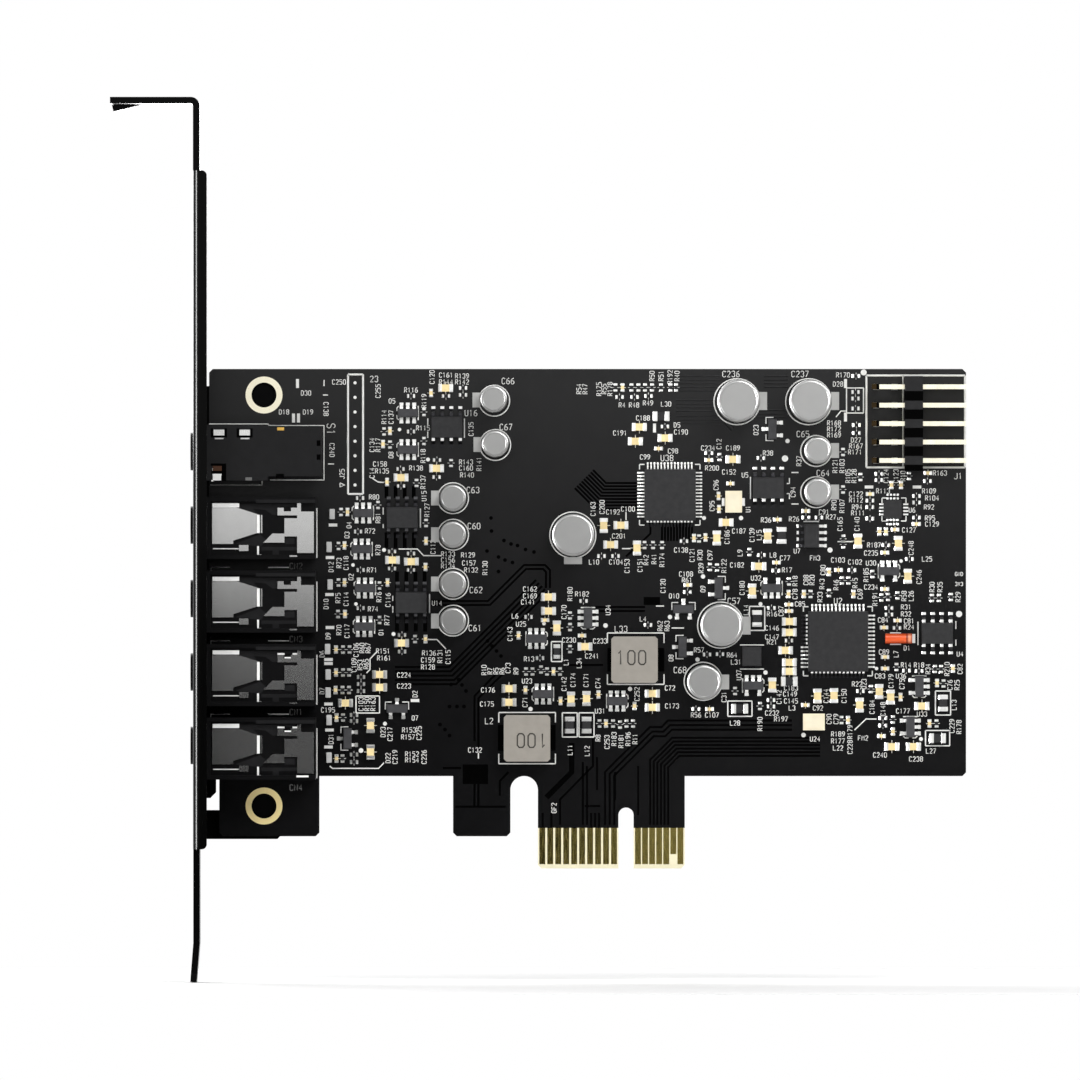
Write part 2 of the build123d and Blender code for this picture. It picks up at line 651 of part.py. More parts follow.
def capacitors():
    """Every sealed can, largest kind last, in its place on the board."""
    kinds = [
        (SMALL_CAN, SMALL_CAN_HEIGHT, SMALL_CAN_PLACES),
        (MIDDLE_CAN, MIDDLE_CAN_HEIGHT, MIDDLE_CAN_PLACES),
        (LARGE_CAN, LARGE_CAN_HEIGHT, LARGE_CAN_PLACES),
    ]
    cans = []
    for diameter, height, places in kinds:
        can = extrude(Circle(diameter / 2), height)
        cans += [on_board(place) * can for place in places]
    return cans


def header_pins():
    """The bent square pins: a straight reach through the body, and a leg through the board."""
    pins = []
    half = PIN_SIZE / 2
    tail = BOARD_BACK - PIN_TAIL
    for height, leg_gap in header_rows():
        leg = HEADER_LEFT - leg_gap
        points = [
            (leg - half, tail),
            (leg + half, tail),
            (leg + half, height - half),
            (BOARD_RIGHT, height - half),
            (BOARD_RIGHT, height + half),
            (leg - half, height + half),
        ]
        profile = Plane.XZ * make_face(Polyline(*points, close=True))
        pin = Pos(0, half, 0) * extrude(profile, PIN_SIZE)
        pins += [Pos(0, y, 0) * pin for y in header_columns()]
    return pins


def header_body():
    """The moulded bar that carries the pins."""
    columns = header_columns()
    ends = (columns[0] - HEADER_OVERHANG, columns[-1] + HEADER_OVERHANG)
    body = block((HEADER_LEFT, HEADER_RIGHT), ends, (0, HEADER_PITCH * 2))
    for height, _ in header_rows():
        for y in columns:
            across = (y - PIN_SIZE / 2, y + PIN_SIZE / 2)
            up = (height - PIN_SIZE / 2, height + PIN_SIZE / 2)
            body -= block((HEADER_LEFT, HEADER_RIGHT), across, up)
    return body


def moulded_body(length, width, height, standoff):
    """A moulded body whose sides slope away from its parting line."""
    half = (height - standoff) / 2
    parting = Pos(0, 0, standoff + half) * Rectangle(length, width)
    body = extrude(parting, half, taper=CHIP_DRAFT)
    return body + extrude(parting, -half, taper=CHIP_DRAFT)


def sloped_lead(height, reach, foot, thickness, width):
    """A lead that leaves a body at the parting line and slopes down to a flat foot."""
    points = [
        (0, height - thickness / 2),
        (reach - foot, 0),
        (reach, 0),
        (0, height + thickness / 2),
    ]
    profile = Plane.XZ * make_face(Polyline(*points, close=True))
    return Pos(0, width / 2, 0) * extrude(profile, width)


def lead_row(lead, count, pitch, distance, turn):
    """A row of leads along one side of a body, which lies distance from its middle."""
    first = -pitch * (count - 1) / 2
    return [Rot(0, 0, turn) * Pos(distance, first + pitch * index) * lead for index in range(count)]


def parting_height(height):
    """The height of a moulded body's parting line above the board."""
    return (height + CHIP_STANDOFF) / 2


def square_chip(size, pitch, place):
    """A flat square chip: its body, and its leads on all four sides."""
    body = on_board(place) * moulded_body(size, size, CHIP_HEIGHT, CHIP_STANDOFF)
    lead = sloped_lead(parting_height(CHIP_HEIGHT), LEAD_REACH, LEAD_FOOT, LEAD_THICKNESS, LEAD_WIDTH)
    leads = []
    for side in range(4):
        row = lead_row(lead, LEAD_COUNT, pitch, size / 2, QUARTER * side)
        leads += [on_board(place) * each for each in row]
    return body, leads


def small_chip(length, width, count, pitch, lead, place, turn=0):
    """A small chip: its body, and its leads along the two long sides."""
    body = on_board(place, turn) * moulded_body(length, width, AMPLIFIER_HEIGHT, CHIP_STANDOFF)
    leads = []
    for side in (QUARTER, -QUARTER):
        row = lead_row(lead, count, pitch, width / 2, side)
        leads += [on_board(place, turn) * each for each in row]
    return body, leads


def wide_lead(width, reach):
    """The stouter lead of the small chips."""
    height = parting_height(AMPLIFIER_HEIGHT)
    return sloped_lead(height, reach, WIDE_LEAD_FOOT, WIDE_LEAD_THICKNESS, width)


def inductor(place):
    """A power inductor: a square ferrite block with its corners cut."""
    outline = chamfer(Rectangle(INDUCTOR_SIZE, INDUCTOR_SIZE).vertices(), INDUCTOR_CORNER)
    return on_board(place) * extrude(outline, INDUCTOR_HEIGHT)


def inductor_terminals(place):
    """The two strap terminals at an inductor's left and right sides."""
    half = INDUCTOR_TERMINAL_WIDTH / 2
    inner = INDUCTOR_SIZE / 2
    outer = inner + INDUCTOR_TERMINAL_THICKNESS
    up = (0, INDUCTOR_TERMINAL_HEIGHT)
    right = block((inner, outer), (-half, half), up)
    left = block((-outer, -inner), (-half, half), up)
    return [on_board(place) * right, on_board(place) * left]


def oscillator(place, turn):
    """A ceramic oscillator with a raised lid."""
    inset = OSCILLATOR_LID_INSET * 2
    body = extrude(Rectangle(OSCILLATOR_LENGTH, OSCILLATOR_WIDTH), OSCILLATOR_HEIGHT)
    lid = Rectangle(OSCILLATOR_LENGTH - inset, OSCILLATOR_WIDTH - inset)
    body += Pos(0, 0, OSCILLATOR_HEIGHT) * extrude(lid, OSCILLATOR_LID_HEIGHT)
    return on_board(place, turn) * body


def diode():
    """A sealed glass diode lying on the board."""
    x, y = board_x(DIODE_PLACE[0]), board_y(DIODE_PLACE[1])
    radius = DIODE_DIAMETER / 2
    return along_x(Pos(y, radius) * Circle(radius), x - DIODE_LENGTH / 2, DIODE_LENGTH)


write("circuit_board", circuit_board())
write_group("edge_contacts", edge_contacts())
write_group("bracket_screws", bracket_screws())
write("bracket", bracket())

for number, axis in enumerate(jack_axes(), 1):
    write(f"audio_jack_housing_{number}", jack_housing(axis))
    write(f"audio_jack_front_contact_{number}", front_contact(axis))
    write(f"audio_jack_rear_contact_{number}", rear_contact(axis))
write("headphone_jack_housing", headphone_housing())
write_group("headphone_jack_clips", headphone_clips())

for number, can in enumerate(capacitors(), 1):
    write(f"capacitor_{number}", can)

write("pin_header_body", header_body())
write_group("pin_header_pins", header_pins())

converter_body, converter_leads = square_chip(CONVERTER_SIZE, CONVERTER_PITCH, CONVERTER_PLACE)
write("converter_chip_body", converter_body)
write_group("converter_chip_leads", converter_leads)
controller_body, controller_leads = square_chip(CONTROLLER_SIZE, CONTROLLER_PITCH, CONTROLLER_PLACE)
write("controller_chip_body", controller_body)
write_group("controller_chip_leads", controller_leads)

amplifier_lead = wide_lead(WIDE_LEAD_WIDTH, WIDE_LEAD_REACH)
amplifier_leads = []
for number, place in enumerate(AMPLIFIER_PLACES, 1):
    size = (AMPLIFIER_LENGTH, AMPLIFIER_WIDTH)
    body, leads = small_chip(*size, AMPLIFIER_LEAD_COUNT, AMPLIFIER_PITCH, amplifier_lead, place)
    write(f"amplifier_chip_{number}", body)
    amplifier_leads += leads
write_group("amplifier_chip_leads", amplifier_leads)

regulator_lead = wide_lead(NARROW_LEAD_WIDTH, NARROW_LEAD_REACH)
size = (REGULATOR_LENGTH, REGULATOR_WIDTH)
layout = (REGULATOR_LEAD_COUNT, REGULATOR_PITCH, regulator_lead, REGULATOR_PLACE, QUARTER)
body, leads = small_chip(*size, *layout)
write("regulator_chip", body)
write_group("regulator_chip_leads", leads)

for number, place in enumerate(INDUCTOR_PLACES, 1):
    write(f"inductor_{number}", inductor(place))
write_group("inductor_terminals", sum([inductor_terminals(place) for place in INDUCTOR_PLACES], []))

write("switch_chip", on_board(SWITCH_PLACE) * moulded_body(SWITCH_SIZE, SWITCH_SIZE, SWITCH_HEIGHT, 0))
write("choke", on_board(CHOKE_PLACE) * moulded_body(CHOKE_SIZE, CHOKE_SIZE, CHOKE_HEIGHT, 0))
write("oscillator_1", oscillator(OSCILLATOR_UPRIGHT_PLACE, QUARTER))
write("oscillator_2", oscillator(OSCILLATOR_LEVEL_PLACE, 0))

write("diode", diode())
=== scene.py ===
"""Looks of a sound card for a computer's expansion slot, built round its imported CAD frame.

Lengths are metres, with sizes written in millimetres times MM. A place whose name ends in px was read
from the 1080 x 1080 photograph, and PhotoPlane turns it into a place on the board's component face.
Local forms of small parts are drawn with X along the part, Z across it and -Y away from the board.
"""

from __future__ import annotations

import logging
import math
from dataclasses import dataclass
from enum import Enum
from functools import cached_property

import bmesh
import bpy
from bpy.types import Material, Node, NodeSocket, NodeTree, Object
from mathutils import Matrix, Vector


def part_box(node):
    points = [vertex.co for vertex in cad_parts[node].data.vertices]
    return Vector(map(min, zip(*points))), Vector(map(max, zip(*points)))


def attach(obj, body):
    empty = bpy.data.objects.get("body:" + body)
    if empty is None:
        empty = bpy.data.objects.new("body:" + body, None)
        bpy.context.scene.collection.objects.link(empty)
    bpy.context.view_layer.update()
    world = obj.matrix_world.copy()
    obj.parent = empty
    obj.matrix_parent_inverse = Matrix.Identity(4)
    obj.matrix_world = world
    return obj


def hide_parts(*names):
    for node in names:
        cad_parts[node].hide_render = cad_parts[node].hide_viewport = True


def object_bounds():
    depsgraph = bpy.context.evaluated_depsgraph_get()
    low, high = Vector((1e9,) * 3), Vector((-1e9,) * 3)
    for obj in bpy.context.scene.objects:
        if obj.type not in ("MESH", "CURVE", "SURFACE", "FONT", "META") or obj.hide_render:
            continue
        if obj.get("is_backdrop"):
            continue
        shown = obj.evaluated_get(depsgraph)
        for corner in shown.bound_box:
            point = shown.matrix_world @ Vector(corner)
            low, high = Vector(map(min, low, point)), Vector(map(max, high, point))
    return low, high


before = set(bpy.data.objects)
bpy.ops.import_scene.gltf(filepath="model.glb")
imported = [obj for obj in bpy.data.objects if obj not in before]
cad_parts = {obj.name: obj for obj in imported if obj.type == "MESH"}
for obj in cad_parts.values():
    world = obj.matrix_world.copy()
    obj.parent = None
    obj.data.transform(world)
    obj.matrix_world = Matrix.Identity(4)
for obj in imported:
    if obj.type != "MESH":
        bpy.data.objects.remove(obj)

MM = 0.001
BODY = "root"
NOISE_SPAN = (0.3, 0.7)
FIRST_JACK_PX = 525.0
JACK_PITCH_PX = 73.4
JACK_AXES_PX = tuple(FIRST_JACK_PX + JACK_PITCH_PX * i for i in range(4))
LOG = logging.getLogger("sound_card")

Place = tuple[float, float]
Label = tuple[str, float, float]
Box = tuple[float, float, float, float]
Path = tuple[Place, ...]
Colour = tuple[float, float, float, float]
Triple = tuple[float, float, float]
Stand = tuple[Vector, float]


class Side(Enum):
    """The side of a chip that a row of leads leaves from, as a turn of an upward lead in degrees."""

    TOP = 0.0
    RIGHT = 90.0
    BOTTOM = 180.0
    LEFT = 270.0


class Turn(Enum):
    """Which way a word or a small part lies, as the turn of its line in degrees, anticlockwise as seen."""

    LEVEL = 0.0
    UP = 90.0
    OVER = 180.0
    DOWN = 270.0


def linear(code: str) -> Colour:
    """Turn a display colour into the shader's linear values.

    Args:
        code: Six hexadecimal digits, such as "F0C878".

    Returns:
        Red, green, blue and an alpha of 1.
    """
    parts = [int(code[i : i + 2], 16) / 255 for i in (0, 2, 4)]
    red, green, blue = (c / 12.92 if c <= 0.04045 else ((c + 0.055) / 1.055) ** 2.4 for c in parts)
    return red, green, blue, 1.0


def shade(colour: Colour, factor: float) -> Colour:
    """Return a colour made darker or lighter by a factor."""
    return colour[0] * factor, colour[1] * factor, colour[2] * factor, 1.0


def drawn_at(middle: Place, path: Path, degrees: float) -> list[Place]:
    """Return a small drawing's path, right and up from its middle, as pixels, turned anticlockwise."""
    cosine, sine = math.cos(math.radians(degrees)), math.sin(math.radians(degrees))
    return [(middle[0] + x * cosine - y * sine, middle[1] - x * sine - y * cosine) for x, y in path]


def from_axis(path: Path, axis: float) -> list[Place]:
    """Return a path in pixels whose rows were given from a jack's axis."""
    return [(px, axis + below) for px, below in path]


def read_rows(text: str) -> tuple[tuple[float, ...], ...]:
    """Read places or boxes in pixels, with commas between their numbers and blanks between the rows."""
    return tuple(tuple(float(number) for number in row.split(",")) for row in text.split())


def read_paths(text: str) -> tuple[Path, ...]:
    """Read paths of places, with a slash between two paths."""
    return tuple(read_rows(path) for path in text.split("/"))


def read_labels(text: str) -> tuple[Label, ...]:
    """Read words with the pixels of their middles, such as C250,339,382."""
    rows = (row.split(",") for row in text.split())
    return tuple((word, float(px), float(py)) for word, px, py in rows)


def link_object(name: str, data: bpy.types.ID) -> Object:
    """Make an object of a mesh, a lamp or a camera and link it to the scene.

    Args:
        name: The object's name.
        data: What it shows.

    Returns:
        The object.
    """
    made = bpy.data.objects.new(name, data)
    bpy.context.scene.collection.objects.link(made)
    return made


def ride(piece: Object) -> Object:
    """Let a finished piece move with the card, and report it.

    Args:
        piece: The piece.

    Returns:
        The same piece.
    """
    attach(piece, BODY)
    LOG.info("%s: %d faces", piece.name, len(piece.data.polygons))
    return piece


def soften(piece: Object, angle: float = 40.0) -> None:
    """Shade a piece smooth, except across edges sharper than an angle.

    Args:
        piece: The piece.
        angle: The angle in degrees.
    """
    for face in piece.data.polygons:
        face.use_smooth = True
    piece.data.set_sharp_from_angle(angle=math.radians(angle))


# Finishes


class Wiring:
    """A node tree under construction."""

    def __init__(self, tree: NodeTree) -> None:
        """Take up a tree."""
        self.tree = tree

    def join(self, value: object, socket: NodeSocket) -> None:
        """Link an output into a socket, or set the socket to a plain value.

        Args:
            value: The output or the value.
            socket: The socket that takes it.
        """
        if isinstance(value, NodeSocket):
            self.tree.links.new(value, socket)
        else:
            socket.default_value = value

    def add(self, kind: str, inputs: dict | None = None, **settings: object) -> Node:
        """Add a node.

        Args:
            kind: The node's type.
            inputs: An output or a value for each input that needs one, by name or number.
            settings: The node's own settings.

        Returns:
            The node.
        """
        node = self.tree.nodes.new(kind)
        for name, value in settings.items():
            setattr(node, name, value)
        for name, value in (inputs or {}).items():
            self.join(value, node.inputs[name])
        return node


class Shader(Wiring):
    """A material under construction, with its patterns laid on Object coordinates."""

    MIX_FACTOR, MIX_FIRST, MIX_SECOND, MIX_RESULT = 0, 6, 7, 2

    def __init__(self, name: str) -> None:
        """Start a material that holds one principled shader.

        Args:
            name: The material's name.
        """
        self.material = bpy.data.materials.new(name)
        self.material.use_nodes = True
        super().__init__(self.material.node_tree)
        self.surface = self.tree.nodes["Principled BSDF"]
        self.place = self.add("ShaderNodeTexCoord").outputs["Object"]

    def set(self, **values: object) -> None:
        """Feed the shader's own sockets, by names with underscores for spaces, from outputs or values."""
        for name, value in values.items():
            self.join(value, self.surface.inputs[name.replace("_", " ")])

    def noise(self, grain: float, detail: float = 3.0, stretch: Triple = (1.0, 1.0, 1.0)) -> NodeSocket:
        """Add a noise pattern.

        Args:
            grain: Size of one grain in metres.
            detail: Octaves of finer noise.
            stretch: Scale of each axis, to draw the grain out along a brushing direction.

        Returns:
            The noise factor, about as wide as NOISE_SPAN.
        """
        mapping = self.add("ShaderNodeMapping", {"Vector": self.place, "Scale": stretch})
        inputs = {"Vector": mapping.outputs["Vector"], "Scale": 1.0 / grain, "Detail": detail}
        return self.add("ShaderNodeTexNoise", inputs).outputs["Fac"]

    def ramp(self, factor: NodeSocket, stops: dict[float, Colour]) -> NodeSocket:
        """Turn a factor into colour through a ramp.

        Args:
            factor: The factor to read.
            stops: The colour at each position, in rising order.

        Returns:
            The ramp's colour.
        """
        node = self.add("ShaderNodeValToRGB", {"Fac": factor})
        elements = node.color_ramp.elements
        while len(elements) < len(stops):
            elements.new(0.5)
        for element, (position, colour) in zip(elements, stops.items()):
            element.position = position
            element.color = colour
        return node.outputs["Color"]

    def tones(self, noise: NodeSocket, dark: Colour, light: Colour) -> NodeSocket:
        """Return a colour that a noise takes from dark to light."""
        return self.ramp(noise, dict(zip(NOISE_SPAN, (dark, light))))

    def spread(self, factor: NodeSocket, low: float, high: float, span: Place = NOISE_SPAN) -> NodeSocket:
        """Map a factor, over the span that counts, onto values from low to high."""
        inputs = {"Value": factor, "From Min": span[0], "From Max": span[1], "To Min": low, "To Max": high}
        return self.add("ShaderNodeMapRange", inputs).outputs["Result"]

    def bump(self, height: NodeSocket, depth: float) -> None:
        """Raise the surface by a pattern, as deep as depth in metres."""
        node = self.add("ShaderNodeBump", {"Height": height, "Distance": depth, "Strength": 1.0})
        self.set(Normal=node.outputs["Normal"])

    def axis(self, name: str, vector: NodeSocket | None = None) -> NodeSocket:
        """Return the X, Y or Z of a vector, which is the Object coordinates if none is given."""
        return self.add("ShaderNodeSeparateXYZ", {"Vector": vector or self.place}).outputs[name]

    def math(self, operation: str, first: NodeSocket, second: object = 0.0) -> NodeSocket:
        """Add a math node whose second input is an output or a value."""
        return self.add("ShaderNodeMath", {0: first, 1: second}, operation=operation).outputs["Value"]

    def mix(self, factor: NodeSocket, first: object, second: object) -> NodeSocket:
        """Mix two colours, each an output or a value, by a factor."""
        inputs = {self.MIX_FACTOR: factor, self.MIX_FIRST: first, self.MIX_SECOND: second}
        return self.add("ShaderNodeMix", inputs, data_type="RGBA").outputs[self.MIX_RESULT]

    def wear(self, finish: Moulding | Plating, patches: NodeSocket, skin: NodeSocket) -> None:
        """Give the surface a colour with patches in its tone, and a skin that is uneven in gloss and height.

        Args:
            finish: The finish that says how much.
            patches: Pattern of the tone.
            skin: Pattern of the gloss and the height.
        """
        colour = linear(finish.colour)
        tone = self.tones(patches, shade(colour, 1 - finish.mottle), shade(colour, 1 + finish.mottle))
        gloss = self.spread(skin, finish.roughness - finish.uneven, finish.roughness + finish.uneven)
        self.set(Base_Color=tone, Roughness=gloss)
        self.bump(skin, finish.depth)


@dataclass(frozen=True)
class Moulding:
    """Moulded plastic, ceramic or ink: a dull colour with grain in its tone, its gloss and its skin."""

    name: str
    colour: str
    roughness: float = 0.5
    specular: float = 0.3
    grain: float = 0.25 * MM
    depth: float = 0.006 * MM
    mottle: float = 0.12
    uneven: float = 0.06
    grains_in_patch: float = 6.0

    def build(self) -> Material:
        """Build the finish.

        Returns:
            The material.
        """
        shader = Shader(self.name)
        shader.wear(self, shader.noise(self.grain * self.grains_in_patch), shader.noise(self.grain, 4))
        shader.set(Specular_IOR_Level=self.specular)
        return shader.material


@dataclass(frozen=True)
class Plating:
    """Plated or bare metal, with a fine drawn grain and duller patches."""

    name: str
    colour: str
    roughness: float = 0.3
    grain: float = 0.12 * MM
    stretch: Triple = (1.0, 1.0, 0.15)
    depth: float = 0.002 * MM
    mottle: float = 0.10
    uneven: float = 0.08
    grains_in_patch: float = 12.0

    def build(self) -> Material:
        """Build the finish.

        Returns:
            The material.
        """
        shader = Shader(self.name)
        patches = shader.noise(self.grain * self.grains_in_patch, 2)
        shader.wear(self, patches, shader.noise(self.grain, 3, self.stretch))
        shader.set(Metallic=1.0)
        return shader.material


@dataclass(frozen=True)
class SolderMask:
    """The board: black mask over copper pours, bare laminate on the contact tongue, brown cut edges, and
    painted shade in a gloss that fades towards the bottom.
    """

    name: str = "solder_mask"
    pour: str = "0D0D0E"
    shaded: str = "0A0A0B"
    laminate: str = "EFE8C8"
    edge: str = "2B2620"
    bare_edge: str = "D9D4B6"
    bare_below: float = 5.6 * MM
    tongue_left: float = -12.3 * MM
    tongue_right: float = 8.2 * MM
    edge_facing: float = 0.3
    pour_grain: float = 3.0 * MM
    weave: float = 0.35 * MM
    weave_depth: float = 0.004 * MM
    roughness: Place = (0.28, 0.38)
    # Specular rises from the first to the second value over a span of heights: painted shade, darker towards
    # the bottom.
    specular: Place = (0.1, 0.3)
    painted_shade_span: Place = (28.0 * MM, 66.0 * MM)

    def build(self) -> Material:
        """Build the finish.

        Returns:
            The material.
        """
        shader = Shader(self.name)
        pours = shader.noise(self.pour_grain)
        weave = shader.noise(self.weave, 2)
        mask = shader.tones(pours, linear(self.shaded), linear(self.pour))
        x, z = shader.axis("X"), shader.axis("Z")
        right_of = shader.math("GREATER_THAN", x, self.tongue_left)
        left_of = shader.math("LESS_THAN", x, self.tongue_right)
        below = shader.math("LESS_THAN", z, self.bare_below)
        bare = shader.math("MULTIPLY", below, shader.math("MULTIPLY", right_of, left_of))
        facing = shader.axis("Y", shader.add("ShaderNodeNewGeometry").outputs["Normal"])
        rim = shader.math("LESS_THAN", shader.math("ABSOLUTE", facing), self.edge_facing)
        face = shader.mix(bare, mask, linear(self.laminate))
        cut = shader.mix(bare, linear(self.edge), linear(self.bare_edge))
        shader.bump(weave, self.weave_depth)
        # The specular graded by height is painted shade.
        shader.set(
            Base_Color=shader.mix(rim, face, cut),
            Roughness=shader.spread(weave, *self.roughness),
            Specular_IOR_Level=shader.spread(z, *self.specular, self.painted_shade_span),
        )
        return shader.material


@dataclass(frozen=True)
class BandedGlass:
    """Orange-red glass of the small diode, with painted shade darker towards its rim, a cathode band and a
    pale end.
    """

    name: str = "red_glass"
    glass: str = "F0642C"
    deep_glass: str = "DC4E1A"
    band: str = "8E2C10"
    pale: str = "F29A72"
    # Colour of the painted shade at the rim.
    rim: str = "8C2606"
    ramp_span: Place = (38.35 * MM, 39.45 * MM)
    glass_to: float = 0.2
    band_over: Place = (0.3, 0.42)
    pale_over: Place = (0.55, 0.75)
    axis_height: float = 31.72 * MM
    rim_span: Place = (0.3 * MM, 0.76 * MM)
    rim_share: float = 0.9
    streak: float = 0.8 * MM
    stretch: Triple = (0.3, 1.0, 1.0)
    roughness: Place = (0.12, 0.25)
    specular: float = 0.3
    coat: float = 0.1
    coat_roughness: float = 0.1

    def build(self) -> Material:
        """Build the finish.

        Returns:
            The material.
        """
        shader = Shader(self.name)
        streak = shader.noise(self.streak, 2, self.stretch)
        glass, band, pale = linear(self.glass), linear(self.band), linear(self.pale)
        body = shader.tones(streak, linear(self.deep_glass), glass)
        along = shader.axis("X")
        stops = {0.0: glass, self.glass_to: glass}
        stops |= dict.fromkeys(self.band_over, band) | dict.fromkeys(self.pale_over, pale) | {1.0: band}
        end = shader.ramp(shader.spread(along, 0.0, 1.0, self.ramp_span), stops)
        whole = shader.mix(shader.math("GREATER_THAN", along, self.ramp_span[0]), body, end)
        # Painted shade: the glass darkens away from its axis towards the rim.
        off_axis = shader.math("ABSOLUTE", shader.math("SUBTRACT", shader.axis("Z"), self.axis_height))
        dark = shader.spread(off_axis, 0.0, self.rim_share, self.rim_span)
        shader.set(
            Base_Color=shader.mix(dark, whole, linear(self.rim)),
            Roughness=shader.spread(streak, *self.roughness),
            Specular_IOR_Level=self.specular, Coat_Weight=self.coat, Coat_Roughness=self.coat_roughness,
        )
        return shader.material


class FinishRack:
    """Every finish of the card, built once, and the CAD nodes that each one dresses."""

    def __init__(self) -> None:
        """Build the materials."""
        finishes = [
            SolderMask(),
            BandedGlass(),
            Moulding("black_paint", "050505", 0.2, 0.05, 0.5 * MM, 0.0, 0.12, 0.004),
            Moulding("black_screw", "050506", 0.5, 0.04),
            Moulding("jack_plastic", "0B0B0C", 0.42, 0.08),
            Moulding("headphone_plastic", "171718", 0.5, 0.14),
            Moulding("header_plastic", "262627", 0.5, 0.08),
            Moulding("chip_moulding", "303031", 0.55, 0.12, 0.12 * MM),
            Moulding("small_moulding", "424244", 0.55, 0.15, 0.12 * MM),
            Moulding("ferrite", "97928A", 0.6, 0.2, 0.2 * MM, 0.008 * MM, 0.05),
            Moulding("ferrite_mark", "403D39", 0.6, 0.15),
            Moulding("cream_ceramic", "F2E9CE", 0.45, 0.3, 0.3 * MM, 0.006 * MM, 0.05),
            Moulding("tan_ceramic", "F2DCA4", 0.5, 0.3, 0.2 * MM),
            Moulding("dark_chip", "161618", 0.45, 0.3, 0.1 * MM),
            Moulding("pale_block", "C8C8C7", 0.55, 0.25, 0.2 * MM, 0.006 * MM, 0.05),
            Moulding("ink", "E6E6E3", 0.6, 0.2, 0.15 * MM, 0.002 * MM, 0.06),
            # Grey ink for print that lies in shade: painted shade.
            Moulding("faint_ink", "6A6A69", 0.6, 0.1, 0.15 * MM, 0.002 * MM, 0.06),
            Moulding("jack_shade", "1C1C1D", 0.5, 0.08),
            # Paler, dull copy of the ring plating, for the lower mounting ring: painted light.
            Moulding("pale_gilt", "FFEAA8", 0.4, 0.3, 0.2 * MM, 0.002 * MM, 0.03),
            Moulding("grey_block", "B4B4B2", 0.55, 0.25, 0.2 * MM, 0.006 * MM, 0.05),
            Moulding("mask_gap", "131314", 0.4, 0.2, 0.2 * MM),
            # Near black for gaps and vias seen through the mask, and also painted shade in the header's
            # recesses, the headphone lid's notches and the inductors' terminals.
            Moulding("bare_gap", "020202", 0.6, 0.01, 0.2 * MM),
            Plating("gilt", "8E8148", 0.24, 0.12 * MM, (1.0, 1.0, 0.05), 0.0003 * MM),
            Plating("gilt_pin", "FFF9E2", 0.3),
            Plating("bright_gilt", "E0B45C", 0.3),
            Plating("ring_plate", "F5EFD6", 0.34, 0.2 * MM, (1, 1, 1), 0.0005 * MM, 0.03),
            Plating("tin", "DCDCDA", 0.3),
            # Darker copy of tin, for leads in shade: painted shade.
            Plating("dull_tin", "2A2A2C", 0.42),
            # Grey copy of the solder, for the leads of the two chips low on the left: painted shade over
            # their solder and their painted glints.
            Plating("grey_tin", "58585A", 0.4),
            Plating("solder", "F6F6F4", 0.3, 0.2 * MM, (1, 1, 1), 0.002 * MM, 0.04, 0.03),
            Plating("spring_metal", "CECECD", 0.24, 0.1 * MM, (0.1, 1.0, 1.0), 0.0, 0.02, 0.01),
            # White for the highlights painted on the jacks' contact edges and the clip ends, and for the
            # whiter jack print: painted light.
            Moulding("bright_edge", "F8F8F6", 0.4, 0.3, 0.2 * MM, 0.002 * MM, 0.03),
            Plating("copper", "4C362B", 0.35),
            Plating("dull_brass", "33291A", 0.4),
            Plating("aluminium", "9C9C9B", 0.36, 0.15 * MM, (1, 1, 1), 0.0, 0.02, 0.02),
        ]
        self.made = {finish.name: finish.build() for finish in finishes}

    def __getitem__(self, name: str) -> Material:
        """Return a finish by name."""
        return self.made[name]

    def dress_frame(self) -> None:
        """Give every CAD node its finish through its own material slots."""
        names = {
            "circuit_board": "solder_mask",
            "edge_contacts": "gilt",
            "bracket": "black_paint",
            "bracket_screws": "black_screw",
            "headphone_jack_housing": "headphone_plastic",
            "headphone_jack_clips": "tin",
            "pin_header_body": "header_plastic",
            "pin_header_pins": "gilt_pin",
            "inductor_1": "ferrite",
            "inductor_2": "ferrite",
            "oscillator_1": "cream_ceramic",
            "oscillator_2": "cream_ceramic",
            "diode": "red_glass",
        }
        families = {
            "audio_jack_housing": "jack_plastic",
            "audio_jack_": "spring_metal",
            "capacitor_": "aluminium",
            # The inductors' terminals in near black: painted shade.
            "inductor_terminals": "bare_gap",
        }
        for name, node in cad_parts.items():
            finish = names.get(name)
            if finish is None:
                finish = next((value for key, value in families.items() if name.startswith(key)), None)
            if finish is None:
                finish = "tin" if name.endswith("_leads") else "chip_moulding"
            node.data.materials.clear()
            node.data.materials.append(self.made[finish])


# Forms and node trees


@dataclass(frozen=True)
class PhotoPlane:
    """Maps pixels of the photograph to places on the board's component face."""

    pixels_per_mm: float = 7.25
    origin_x_px: float = 626.0
    origin_y_px: float = 868.5

    @cached_property
    def face_y(self) -> float:
        """Return the Y of the board's component face."""
        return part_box("circuit_board")[0].y

    def span(self, pixels: float) -> float:
        """Turn a distance in pixels into metres."""
        return pixels / self.pixels_per_mm * MM

    def row(self, z: float) -> float:
        """Turn a height in the frame into a row of pixels."""
        return self.origin_y_px - z / MM * self.pixels_per_mm

    def point(self, px: float, py: float, rise: float = 0.0) -> Vector:
        """Turn a pixel into a place in the frame.

        Args:
            px: Pixels from the photograph's left edge.
            py: Pixels from its top edge.
            rise: Height over the board's component face.

        Returns:
            The place.
        """
        x = self.span(px - self.origin_x_px)
        z = self.span(self.origin_y_px - py)
        return Vector((x, self.face_y - rise, z))


PLANE = PhotoPlane()


